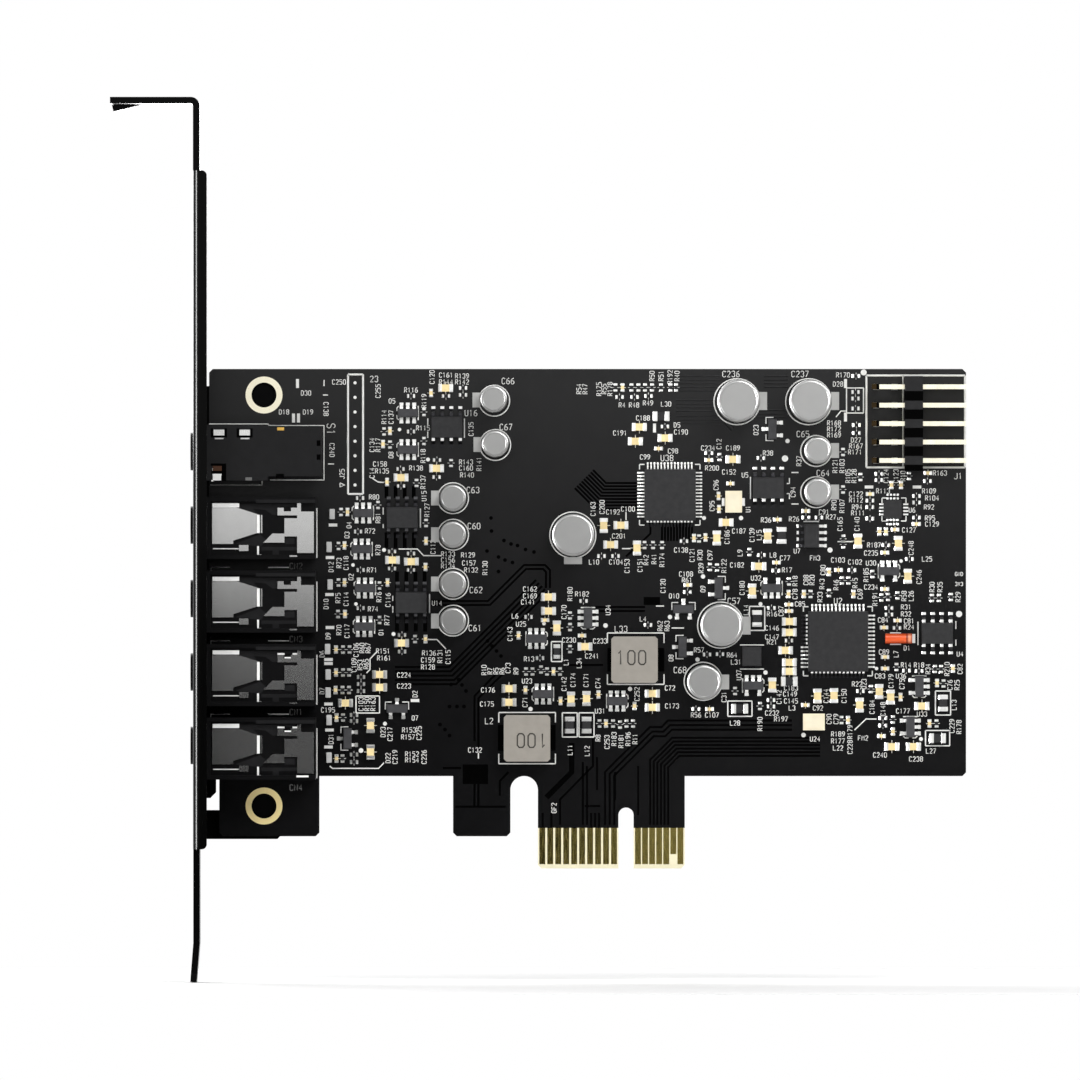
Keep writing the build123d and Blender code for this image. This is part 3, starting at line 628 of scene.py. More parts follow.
class Form:
    """A mesh under construction."""

    def __init__(self) -> None:
        """Start with no geometry."""
        self.mesh = bmesh.new()

    def block(self, low: Vector, high: Vector, bevel: float = 0.0) -> None:
        """Add a box.

        Args:
            low: Its lowest corner.
            high: Its highest corner.
            bevel: Bevel of its edges.
        """
        place = Matrix.Translation((low + high) / 2) @ Matrix.Diagonal((*(high - low), 1.0))
        made = bmesh.ops.create_cube(self.mesh, size=1.0, matrix=place)
        if bevel:
            edges = list({edge for vertex in made["verts"] for edge in vertex.link_edges})
            bmesh.ops.bevel(self.mesh, geom=edges, offset=bevel, segments=1, profile=0.5, affect="EDGES")

    def brick(self, span: Place, height: float, half: float, bevel: float = 0.0, foot: float = 0.0) -> None:
        """Add a box to a small part's local form, by its span along X, its height and half its width."""
        self.block(Vector((min(span), -height, -half)), Vector((max(span), -foot, half)), bevel)

    def slab(self, box: Box, base: float, height: float, bevel: float = 0.0) -> None:
        """Add a flat block: its outline in pixels, the height of its foot, its own height and bevel."""
        left, top, right, bottom = box
        self.block(PLANE.point(left, bottom, base + height), PLANE.point(right, top, base), bevel)

    def loft(self, rings: list[list[Vector | Triple]], loop: bool = False) -> None:
        """Join rings of corners by walls, and close the ends.

        Args:
            rings: Corners of each ring in the same order, or one corner where the form ends in a tip.
            loop: Whether the last ring joins the first, which leaves no ends.
        """
        rows = [[self.mesh.verts.new(corner) for corner in ring] for ring in rings]
        sides = max(len(row) for row in rows)
        for first, second in zip(rows, [*rows[1:], rows[0]] if loop else rows[1:]):
            for i in range(sides):
                steps = ((first, i), (first, i + 1), (second, i + 1), (second, i))
                wall = dict.fromkeys(row[step % sides % len(row)] for row, step in steps)
                self.mesh.faces.new(list(wall))
        for row in () if loop else (rows[0], rows[-1]):
            if len(row) > 1:
                self.mesh.faces.new(row)

    def drafted(self, low: Vector, high: Vector, draft: float) -> None:
        """Add a chip body whose four walls lean in, above and below its parting line.

        Args:
            low: Its lowest corner.
            high: Its highest corner.
            draft: How far the walls lean in.
        """
        rings = []
        for y, lean in ((high.y, draft), ((low.y + high.y) / 2, 0.0), (low.y, draft)):
            left, right, foot, head = low.x + lean, high.x - lean, low.z + lean, high.z - lean
            rings.append([(left, y, foot), (right, y, foot), (right, y, head), (left, y, head)])
        self.loft(rings)

    def turned(self, profile: list[Place], centre: Vector, segments: int) -> None:
        """Add a turned form about an axis along -Y.

        Args:
            profile: Radius and rise along the wall, ring by ring; a hollow ring's ends where it began.
            centre: The axis at rise 0.
            segments: Sides of each ring.
        """
        rings = []
        for radius, rise in profile:
            turns = [math.tau * i / segments for i in range(segments if radius else 1)]
            offsets = [(radius * math.cos(turn), -rise, radius * math.sin(turn)) for turn in turns]
            rings.append([centre + Vector(offset) for offset in offsets])
        if profile[0] == profile[-1]:
            self.loft(rings[:-1], loop=True)
        else:
            self.loft(rings)

    def disc(self, centre: Vector, radius: float, rises: Place, segments: int) -> None:
        """Add a flat disc about a place on the board, by the heights of its two faces."""
        low, high = rises
        self.turned([(0.0, low), (radius, low), (radius, high), (0.0, high)], centre, segments)

    def strip(self, path: list[Place], thickness: float, width: float, along: float = 0.0) -> None:
        """Add a bent metal strip.

        Args:
            path: Outward distance (Z) and rise of the strip's middle line, point by point.
            thickness: Thickness of the metal.
            width: Width of the strip along X.
            along: Middle of the strip along X.
        """
        left, right = along - width / 2, along + width / 2
        sections = []
        for i, (out, rise) in enumerate(path):
            before, after = path[max(i - 1, 0)], path[min(i + 1, len(path) - 1)]
            run = Vector((after[0] - before[0], after[1] - before[1])).normalized()
            side = Vector((-run.y, run.x)) * thickness / 2
            upper = (-rise - side.y, out + side.x)
            lower = (-rise + side.y, out - side.x)
            sections.append([(left, *upper), (right, *upper), (right, *lower), (left, *lower)])
        self.loft(sections)

    def plate(self, outline: Path, base: float, height: float) -> None:
        """Add a flat plate: its corners in pixels, the height of its foot and its own height."""
        self.loft([[PLANE.point(*place, rise) for place in outline] for rise in (base, base + height)])

    def done(self, name: str, material: Material | None = None) -> Object:
        """Close the mesh with its faces outwards and make an object of it.

        Args:
            name: The object's name.
            material: Its finish, if it keeps its own.

        Returns:
            The object, linked to the scene.
        """
        bmesh.ops.recalc_face_normals(self.mesh, faces=self.mesh.faces)
        mesh = bpy.data.meshes.new(name)
        self.mesh.to_mesh(mesh)
        self.mesh.free()
        if material:
            mesh.materials.append(material)
        return link_object(name, mesh)


class GeometryTree(Wiring):
    """A geometry node tree with named inputs, run on a carrier mesh to make a plain piece."""

    def __init__(self, name: str, inputs: dict[str, str]) -> None:
        """Start a tree.

        Args:
            name: The tree's name.
            inputs: Socket type of each named input.
        """
        super().__init__(bpy.data.node_groups.new(name, "GeometryNodeTree"))
        geometry = {"Geometry": "NodeSocketGeometry"}
        for side, sockets in (("INPUT", geometry | inputs), ("OUTPUT", geometry)):
            for label, kind in sockets.items():
                self.tree.interface.new_socket(label, in_out=side, socket_type=kind)
        self.given = self.add("NodeGroupInput").outputs

    def dress(self, geometry: NodeSocket, finish: str) -> NodeSocket:
        """Make plain geometry of what was placed or swept, with a finish.

        Args:
            geometry: The geometry.
            finish: The tree's input that holds the finish.

        Returns:
            The dressed geometry.
        """
        real = self.add("GeometryNodeRealizeInstances", {"Geometry": geometry})
        inputs = {"Geometry": real.outputs["Geometry"], "Material": self.given[finish]}
        return self.add("GeometryNodeSetMaterial", inputs).outputs["Geometry"]

    def run(self, name: str, mesh: bpy.types.Mesh, values: dict[str, object]) -> Object:
        """Evaluate the tree on a carrier and keep the result as a plain mesh.

        Args:
            name: Name of the piece.
            mesh: The carrier's mesh, with the points or edges that the tree works on.
            values: Value of each named input.

        Returns:
            The piece, riding on the card.
        """
        carrier = link_object(name + "_carrier", mesh)
        modifier = carrier.modifiers.new("tree", "NODES")
        modifier.node_group = self.tree
        for item in self.tree.interface.items_tree:
            if item.in_out == "INPUT" and item.name in values:
                modifier[item.identifier] = values[item.name]
        bpy.context.view_layer.update()
        evaluated = carrier.evaluated_get(bpy.context.evaluated_depsgraph_get())
        made = bpy.data.meshes.new_from_object(evaluated)
        made.name = name
        bpy.data.objects.remove(carrier)
        return ride(link_object(name, made))


class PartPlacer(GeometryTree):
    """Sets one small part, a body and its metal, at many places of the board with Geometry Nodes."""

    KINDS = ("Metal", "Body")

    def __init__(self) -> None:
        """Build the tree."""
        inputs = {f"{kind} Form": "NodeSocketObject" for kind in self.KINDS}
        inputs |= {f"{kind} Finish": "NodeSocketMaterial" for kind in self.KINDS}
        super().__init__("placed_parts", inputs)
        turn = self.add("GeometryNodeInputNamedAttribute", {"Name": "turn"}, data_type="FLOAT")
        lean = self.add("ShaderNodeCombineXYZ", {"Y": turn.outputs["Attribute"]})
        euler = self.add("FunctionNodeEulerToRotation", {"Euler": lean.outputs["Vector"]})
        both = self.add("GeometryNodeJoinGeometry")
        for kind in self.KINDS:
            source = {"Object": self.given[f"{kind} Form"]}
            form = self.add("GeometryNodeObjectInfo", source, transform_space="ORIGINAL")
            inputs = {"Points": self.given["Geometry"], "Instance": form.outputs["Geometry"]}
            inputs["Rotation"] = euler.outputs["Rotation"]
            placed = self.add("GeometryNodeInstanceOnPoints", inputs).outputs["Instances"]
            self.join(self.dress(placed, f"{kind} Finish"), both.inputs["Geometry"])
        self.add("NodeGroupOutput", {"Geometry": both.outputs["Geometry"]})

    def place(self, name: str, places: list[Stand], parts: dict[str, tuple[Form, Material]]) -> Object:
        """Place a part everywhere it is wanted.

        Args:
            name: Name of the piece.
            places: Where each copy stands, with its turn in degrees.
            parts: Form and finish of each kind that the part has, its body and perhaps its metal.

        Returns:
            The piece, riding on the card.
        """
        mesh = bpy.data.meshes.new(name)
        mesh.from_pydata([place for place, _ in places], [], [])
        turns = mesh.attributes.new("turn", "FLOAT", "POINT")
        turns.data.foreach_set("value", [math.radians(turn) for _, turn in places])
        forms = {f"{kind} Form": form.done(f"{name}_{kind}_form") for kind, (form, _) in parts.items()}
        finishes = {f"{kind} Finish": finish for kind, (_, finish) in parts.items()}
        piece = self.run(name, mesh, forms | finishes)
        for form in forms.values():
            bpy.data.objects.remove(form)
        return piece


class StrokePrinter(GeometryTree):
    """Lays flat strokes along drawn paths with Geometry Nodes, for printing and for gaps between traces."""

    def __init__(self) -> None:
        """Build the tree."""
        sizes = {"Width": "NodeSocketFloat", "Thickness": "NodeSocketFloat"}
        super().__init__("flat_strokes", sizes | {"Finish": "NodeSocketMaterial"})
        curve = self.add("GeometryNodeMeshToCurve", {"Mesh": self.given["Geometry"]})
        normal = self.add("GeometryNodeSetCurveNormal", {"Curve": curve.outputs["Curve"]}, mode="Z_UP")
        inputs = {"Width": self.given["Width"], "Height": self.given["Thickness"]}
        section = self.add("GeometryNodeCurvePrimitiveQuadrilateral", inputs)
        inputs = {"Curve": normal.outputs["Curve"], "Profile Curve": section.outputs["Curve"]}
        sweep = self.add("GeometryNodeCurveToMesh", inputs | {"Fill Caps": True})
        inputs = {"Geometry": sweep.outputs["Mesh"], "Rotation": (math.pi / 2, 0, 0)}
        stand = self.add("GeometryNodeTransform", inputs)
        self.add("NodeGroupOutput", {"Geometry": self.dress(stand.outputs["Geometry"], "Finish")})

    def lay(self, name: str, paths: list[list[Vector]], pen: Pen, finish: Material) -> Object:
        """Lay strokes on the board.

        Args:
            name: Name of the piece.
            paths: Points of each stroke in the frame.
            pen: Width and thickness of the strokes.
            finish: Their finish.

        Returns:
            The piece, riding on the card.
        """
        points: list[Triple] = []
        edges: list[tuple[int, int]] = []
        for path in paths:
            start = len(points)
            points += [(point.x, point.z, -point.y) for point in path]
            edges += [(i, i + 1) for i in range(start, start + len(path) - 1)]
        mesh = bpy.data.meshes.new(name)
        mesh.from_pydata(points, edges, [])
        return self.run(name, mesh, {"Width": pen.width, "Thickness": pen.thickness, "Finish": finish})


# Sub-assemblies


@dataclass(frozen=True)
class Pen:
    """What draws a stroke: its width, its finish and the thickness that it leaves."""

    width: float
    finish: str = "ink"
    thickness: float = 0.02 * MM


@dataclass
class SubAssembly:
    """A group of the card's pieces, made with the shared finishes and node trees."""

    finishes: FinishRack
    placer: PartPlacer
    printer: StrokePrinter

    def keep(self, form: Form, name: str, finish: str, slot: str) -> None:
        """Make a piece of a form, with its finish by name."""
        ride(form.done(name, self.finishes[finish]))

    def place(
        self,
        name: str,
        places: list[Stand],
        slot: str,
        body: tuple[Form, str],
        metal: tuple[Form, str] | None = None,
    ) -> Object:
        """Make a piece of many copies of a small part.

        Args:
            name: Name of the piece.
            places: Where each copy stands, with its turn in degrees.
            slot: Not used.
            body: Form and finish of the part's body.
            metal: Form and finish of its ends or leads.

        Returns:
            The piece.
        """
        parts = {kind: part for kind, part in (("Body", body), ("Metal", metal)) if part}
        dressed = {kind: (form, self.finishes[finish]) for kind, (form, finish) in parts.items()}
        piece = self.placer.place(name, places, dressed)
        return piece

    def lay(
        self, name: str, paths: list[Path], pen: Pen, slot: str = "cream_ceramic", base: float = 0.0
    ) -> None:
        """Make a piece of strokes.

        Args:
            name: Name of the piece.
            paths: Points of each stroke in pixels of the photograph.
            pen: What draws them.
            slot: Not used.
            base: Height of what they lie on over the board's component face.
        """
        rise = base + pen.thickness / 2
        drawn = [[PLANE.point(*place, rise) for place in path] for path in paths]
        self.printer.lay(name, drawn, pen, self.finishes[pen.finish])


@dataclass
class CapacitorCans(SubAssembly):
    """The drawn cans: rolled foot, straight wall, rounded shoulder and a flat top with a shallow step."""

    small: tuple[str, ...] = tuple(f"capacitor_{i}" for i in range(1, 9))
    middle: tuple[str, ...] = ("capacitor_9",)
    large: tuple[str, ...] = tuple(f"capacitor_{i}" for i in range(10, 14))
    shoulder: float = 0.36 * MM
    shoulder_steps: int = 4
    rim: float = 0.03 * MM
    step: float = 0.05 * MM
    groove: float = 0.12 * MM
    groove_rises: Triple = (0.15 * MM, 0.4 * MM, 0.55 * MM)
    foot: float = 0.9 * MM
    foot_round: Place = (0.08 * MM, 0.1 * MM)
    slim: float = 0.1 * MM
    segments: int = 36

    def profile(self, radius: float, height: float) -> list[Place]:
        """Draw a can's wall.

        Args:
            radius: The can's radius.
            height: Its height.

        Returns:
            Radius and rise of the wall's points, from the can's foot to the middle of its top.
        """
        inset, rounded = self.foot_round
        starts, ends, wall = (self.foot + rise for rise in self.groove_rises)
        neck = radius - self.groove
        points = [(0.0, 0.0), (radius - inset, 0.0), (radius, rounded), (radius, self.foot)]
        points += [(neck, starts), (neck, ends), (radius, wall), (radius, height - self.shoulder)]
        for i in range(1, self.shoulder_steps + 1):
            angle = math.pi / 2 * i / self.shoulder_steps
            inward = self.shoulder * (1 - math.cos(angle))
            points.append((radius - inward, height - self.shoulder * (1 - math.sin(angle))))
        inner = radius - self.shoulder - self.rim
        points += [(inner, height), (inner - self.step, height - self.step), (0.0, height - self.step)]
        return points

    def build(self) -> None:
        """Build the cans of the three sizes."""
        for name, nodes in (("small", self.small), ("middle", self.middle), ("large", self.large)):
            boxes = [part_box(node) for node in nodes]
            low, high = boxes[0]
            form = Form()
            profile = self.profile((high.x - low.x) / 2 - self.slim, high.y - low.y)
            form.turned(profile, Vector((0, 0, 0)), self.segments)
            middles = [Vector(((low.x + high.x) / 2, high.y, (low.z + high.z) / 2)) for low, high in boxes]
            places = [(middle, 0.0) for middle in middles]
            piece = self.place(f"cans_{name}", places, "can", (form, "aluminium"))
            soften(piece)
            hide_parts(*nodes)


@dataclass(frozen=True)
class LeadSize:
    """Sizes of a bent lead: its width, the height of its shoulder, its reach and the length of its foot."""

    width: float
    shoulder: float
    out: float
    foot: float


@dataclass(frozen=True)
class LeadLook:
    """Finishes of a chip's leads: the upper or side rows, the row below, what shines on an end. Dark tin on a
    row is painted shade; the shine is solder and painted glints.
    """

    upper: str
    lower: str = "dull_tin"
    bright: str = "solder"
    both_ends: bool = False


@dataclass
class ChipLeads(SubAssembly):
    """The bent leads of the chips, in place of the CAD's plain ones, with painted shade on rows in dark tin
    and painted glints on shoulders.
    """

    thickness: float = 0.14 * MM
    tuck: float = 0.15 * MM
    straight: float = 0.12 * MM
    upper_bend: Place = (0.62, 0.93)
    lower_bend: float = 0.2
    curl: float = 0.1 * MM
    wet_half: float = 0.62
    wet_rise: float = 1.15
    wet_foot: float = 0.55
    wet_beyond: float = 0.06 * MM
    wet_bevel: float = 0.03 * MM
    # Sizes of the painted glint on the shoulder of a shaded lead.
    least_glint: float = 0.28 * MM
    glint_rise: float = 0.62
    glint_length: float = 0.9
    glint_bevel: float = 0.02 * MM
    converter_px: Box = (643.8, 468.7, 695.7, 520.7)
    converter_pitch_px: float = 3.388
    converter_lead: LeadSize = LeadSize(0.19 * MM, 0.75 * MM, 0.84 * MM, 0.42 * MM)
    controller_px: Box = (807.7, 611, 868, 671.5)
    controller_pitch_px: float = 3.95
    controller_lead: LeadSize = LeadSize(0.22 * MM, 0.75 * MM, 0.9 * MM, 0.45 * MM)
    controller_shade_px: float = 645.2
    quad_count: int = 14
    amplifier_pitch: float = 1.24 * MM
    amplifier_lead: LeadSize = LeadSize(0.46 * MM, 0.8 * MM, 1.36 * MM, 0.6 * MM)
    regulator_pitch: float = 0.9 * MM
    regulator_lead: LeadSize = LeadSize(0.38 * MM, 0.6 * MM, 1.0 * MM, 0.5 * MM)
    dual_count: int = 4

    def gull_wing(self, size: LeadSize) -> Form:
        """Draw a lead that leaves the body, drops to the board and turns out into a foot.

        Args:
            size: The lead's sizes.

        Returns:
            The lead.
        """
        half = self.thickness / 2
        drop = size.out - size.foot
        out_share, up_share = self.upper_bend
        path = [(-self.tuck, size.shoulder), (self.straight, size.shoulder),
                (drop * out_share, size.shoulder * up_share), (drop, size.shoulder * self.lower_bend),
                (drop + self.curl, half), (size.out, half)]
        form = Form()
        form.strip(path, self.thickness, size.width)
        return form

    def shine(self, size: LeadSize, soldered: bool, glinting: bool) -> Form:
        """Draw what shines on a lead: its solder and its painted glint.

        Args:
            size: The lead's sizes.
            soldered: Whether it has the solder that wets the foot and spreads a little beyond it.
            glinting: Whether it has a painted glint, a bright block on the top of its shoulder.

        Returns:
            The bright metal.
        """
        form = Form()
        if soldered:
            half = size.width * self.wet_half
            low = Vector((-half, -self.thickness * self.wet_rise, size.out - size.foot * self.wet_foot))
            form.block(low, Vector((half, 0.0, size.out + self.wet_beyond)), self.wet_bevel)
        # Painted highlight: a bright block on the top of the shoulder.
        if glinting:
            width = max(size.width, self.least_glint)
            low = Vector((-width / 2, -size.shoulder - self.thickness * self.glint_rise, 0.0))
            form.block(low, Vector((width / 2, -size.shoulder, width * self.glint_length)), self.glint_bevel)
        return form

    def rows(
        self, box: tuple[Vector, Vector], pitch: float, count: int, sides: tuple[Side, ...]
    ) -> list[Stand]:
        """Find where leads leave a chip.

        Args:
            box: Lowest and highest corner of the chip's body.
            pitch: Step from lead to lead.
            count: Leads on each side.
            sides: The sides with leads.

        Returns:
            Where each lead leaves the chip, with its turn.
        """
        low, high = box
        middle = (low + high) / 2
        places = []
        for i in range(count):
            step = (i - (count - 1) / 2) * pitch
            across, along = middle.x + step, middle.z + step
            spots = {Side.TOP: (across, high.z), Side.RIGHT: (high.x, along),
                     Side.BOTTOM: (across, low.z), Side.LEFT: (low.x, along)}
            places += [(Vector((spots[side][0], PLANE.face_y, spots[side][1])), side.value) for side in sides]
        return places

    def add(
        self, name: str, places: list[Stand], size: LeadSize, look: LeadLook, node: str, shade_px: float = 0.0
    ) -> None:
        """Set leads in place of a CAD node.

        Args:
            name: Name of the piece.
            places: Where each lead leaves its chip, with its turn.
            size: The leads' sizes.
            look: Their finishes, with the painted shade of dark tin and the painted glints.
            node: The CAD node they stand for.
            shade_px: Pixel row above which the leads on the left take painted shade, like those below.
        """
        shade_above = PLANE.point(0.0, shade_px).z
        # The rows below, and the controller's upper leads on the left, take painted shade.
        lower = [place for place in places if place[1] == Side.BOTTOM.value]
        lower += [place for place in places if place[1] == Side.LEFT.value and place[0].z > shade_above]
        others = [place for place in places if place not in lower]
        for title, group, metal, below in (
            (name, others, look.upper, False), (f"{name}_below", lower, look.lower, True)
        ):
            if group:
                bright = self.shine(size, look.both_ends or not below, look.both_ends or below)
                lead = (self.gull_wing(size), metal)
                piece = self.place(title, group, "tinned_metal", lead, (bright, look.bright))
                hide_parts(node)

    def build(self) -> None:
        """Build the leads of every chip."""
        # Rows in dark tin are painted shade; the regulator's left leads are a dark copy of its bright right
        # ones.
        tinned, dark = LeadLook("tin"), LeadLook("dull_tin")
        for name, (left, top, right, bottom), pitch_px, size, shade_px in (
            ("converter", self.converter_px, self.converter_pitch_px, self.converter_lead, 0.0),
            ("controller", self.controller_px, self.controller_pitch_px, self.controller_lead,
             self.controller_shade_px),
        ):
            box = (PLANE.point(left, bottom), PLANE.point(right, top))
            places = self.rows(box, PLANE.span(pitch_px), self.quad_count, tuple(Side))
            self.add(f"{name}_leads", places, size, tinned, f"{name}_chip_leads", shade_px)
        for name, chips, look in (
            ("amplifier_leads", (1, 4), dark),
            ("amplifier_leads_grey", (2, 3), LeadLook("dull_tin", "dull_tin", "grey_tin")),
            ("amplifier_leads_bright", (5,), LeadLook("dull_tin", both_ends=True)),
        ):
            places = []
            for chip in chips:
                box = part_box(f"amplifier_chip_{chip}")
                places += self.rows(box, self.amplifier_pitch, self.dual_count, (Side.TOP, Side.BOTTOM))
            self.add(name, places, self.amplifier_lead, look, "amplifier_chip_leads")
        for name, side, look in (
            ("regulator_leads", Side.LEFT, dark), ("regulator_leads_right", Side.RIGHT, tinned)
        ):
            places = self.rows(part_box("regulator_chip"), self.regulator_pitch, self.dual_count, (side,))
            self.add(name, places, self.regulator_lead, look, "regulator_chip_leads")


class ChipKind(Enum):
    """Kinds of two-ended chip parts: length, width, height and end in mm, the body's finish, the slot."""

    RESISTOR = (1.0, 0.48, 0.36, 0.26, "dark_chip", "ferrite")
    SMALL_CAP = (1.0, 0.5, 0.5, 0.28, "tan_ceramic", "cream_ceramic")
    LARGE_CAP = (1.8, 1.02, 0.85, 0.42, "tan_ceramic", "cream_ceramic")
    BEAD = (2.0, 1.2, 0.85, 0.5, "chip_moulding", "ferrite")
    SMALL_BEAD = (1.75, 0.84, 0.7, 0.42, "chip_moulding", "ferrite")


@dataclass
class ChipField(SubAssembly):
    """The two-ended chip parts: resistors, capacitors and ferrite beads with soldered ends."""

    resistors_level_px: tuple[Place, ...] = read_rows("""
        411,396 446,396 463,388 463,395 411,431.5 437,460 436.5,477 400.5,469 401,486 619.5,397 634.5,397
        648.5,396 665,426.5 709,453 761,458 856,376 855.5,392 855.5,398.5 855.5,408.5 856.5,425 856.5,433
        879,474 879,480 927.5,481 916.5,496 916.5,502.5 916.5,517.5 360,498 358,531.5 360.5,570 360.5,608
        392,551.5 392,568.5 411,553.5 411,570 601.5,556 615.5,556 684,541 776,570.5 687.5,592 583.5,601
        806,517.5 819,517.5 852,570 870,500.5 870,507 870,518.5 886,545 909.5,559 889,608 889,614.5 897,628
        361,677 361,684 361,691 354,715 354,721 354,754.5 354,762 402,635 402,651.5 528.5,617 540,658
        648,625 707,654.5 720,654 771.5,608 771,700 771,706.5 696,709 789,640.5 860.5,691 883,718 883,725.5
        906.5,670.5 919,671 761.5,555
    """)
    resistors_upright_px: tuple[Place, ...] = read_rows("""
        384,431.5 390,444.5 424,412 424,441 451,463 416.5,483 615.5,387.5 631.5,387.5 638.5,387.5 645,387.5
        652,387.5 661,387.5 670.5,387.5 676,387.5 719.5,457 843,452 843,489.5 860.5,477 909,476 341,512
        378,505 338.5,546 338.5,582.5 379.5,585.5 338,614 379.5,620 426,523 644.5,545 653,545 662,545
        699,538.5 710,567 717,567.5 842,580.5 848.5,580.5 872.5,574 789,581.5 810.5,594 829,593 881.5,597.5
        888,597 897.5,595.5 932,598 939,598 951,597 343,649.5 349.5,649.5 343,672.5 349,672.5 342.5,690
        349,690 343,717.5 342.5,758.5 415,639 570,615.5 570,627 570,649 526,671.5 532.5,671.5 541,669.5
        547,671.5 560,671.5 735,691 760,706 599.5,723.5 613,723.5 620,724.5 626.5,723.5 633,723.5 871,689
        893,719.5 841.5,720 896.5,667 935,669 941,669 943.5,683.5 936.5,723.5 749.5,552 843.2,538.8
        843.2,544.4
    """)
    small_caps_level_px: tuple[Place, ...] = read_rows("""
        709,460 730.5,483.5 777.5,519.5 776.5,562.5 688,585 928,473 870,494 806,511 838.5,570 885,552.5
        916.5,524 895,529.5 885,589 789,604.5 789,611 897.5,620.5 884,627.5 885,657 885,668.5 709.5,709
        582,635.5 545,620 658.6,448.5 805.5,705 881.5,736
    """)
    small_caps_upright_px: tuple[Place, ...] = read_rows("""
        390,431 383,444 387,482 431,393 622.5,387.5 718.5,496 719,509 347.5,512 344.5,545.5 344.5,582.5
        387.5,582.5 345,614 426,541 425.5,567 694,538 705.5,537.5 891.5,485 901,485 829,572 879.5,531.5
        886,531.5 788.5,594 804,594 853.5,594 336,649.5 336,672.5 335.5,690 336.5,717.5 336.5,758.5
        425.5,639 518.5,635.5 553.5,671.5 525.5,690 560.5,701 598.5,694.5 634.5,706 606,723.5 900.5,697
        848,720 953,668.5 937,683 929.5,723.5 893,731.5
    """)
    large_caps_level_px: tuple[Place, ...] = read_rows("""
        445.6,388 401,477.6 436.5,468.3 392.4,560 411.3,561.6 401.5,643 379.6,674.5 379.6,687.3 345.4,703
        548.4,597 548.5,611 585,646.6 509,688.6 509,702.3 652.4,693.5 652.4,707.3 639.4,427 635.4,441.3
        665.2,438 620.9,525.2 610.6,544.6 733,459.3 726.1,522.4 758.9,566.2 789.3,621.5 789.3,632.3
        785.5,650.3 789.3,662.3 789.3,671.3 922,706 891.9,746.6 913.5,746.6
    """)
    large_caps_upright_px: tuple[Place, ...] = read_rows("""
        370.5,725.5 370.5,752 556.8,628 571,699 586.5,698.5 603.7,525.5 637,548 716.8,538 767.6,536 858,541
        898.4,543.3 752.3,591 772.3,685 907.8,576.2 859.6,705 890.6,697 879.3,691.5 817.5,696 834,695.5
    """)
    beads_level_px: tuple[Place, ...] = read_rows("661.2,416.3 789.3,681.4 739.8,708.7 937.5,738.2")
    beads_upright_px: tuple[Place, ...] = read_rows("781.8,535.4 569.7,725 586.6,725 757,618.5 943,703")
    small_bead_px: tuple[Place, ...] = ((556.8, 651.5),)
    bevel: float = 0.04 * MM
    slim: float = 0.02 * MM
    body_gap: float = 0.8
    solder_reach: float = 0.3
    solder_rise: float = 0.28
    solder_half: float = 0.56

    def forms(self, kind: ChipKind) -> tuple[Form, Form]:
        """Draw a chip part.

        Args:
            kind: Which kind of part it is.

        Returns:
            Its body, and its two ends with their solder.
        """
        length, width, height, end = (size * MM for size in kind.value[:4])
        body, ends = Form(), Form()
        tip = length / 2
        inner = tip - end * self.body_gap
        body.brick((-inner, inner), height - self.slim, width / 2 - self.slim, foot=self.slim)
        for side in (-1, 1):
            near = side * (tip - end)
            ends.brick((near, side * tip), height, width / 2, self.bevel)
            reach = side * (tip + end * self.solder_reach)
            ends.brick((near, reach), height * self.solder_rise, width * self.solder_half, self.bevel)
        return body, ends

    def build(self) -> None:
        """Build every kind of chip part."""
        for name, kind, level, upright in (
            ("chip_resistors", ChipKind.RESISTOR, self.resistors_level_px, self.resistors_upright_px),
            ("chip_caps_small", ChipKind.SMALL_CAP, self.small_caps_level_px, self.small_caps_upright_px),
            ("chip_caps_large", ChipKind.LARGE_CAP, self.large_caps_level_px, self.large_caps_upright_px),
            ("ferrite_beads", ChipKind.BEAD, self.beads_level_px, self.beads_upright_px),
            ("small_bead", ChipKind.SMALL_BEAD, (), self.small_bead_px),
        ):
            *_, finish, slot = kind.value
            body, ends = self.forms(kind)
            places = [(PLANE.point(*place), Turn.LEVEL.value) for place in level]
            places += [(PLANE.point(*place), Turn.UP.value) for place in upright]
            self.place(name, places, slot, (body, finish), (ends, "solder"))


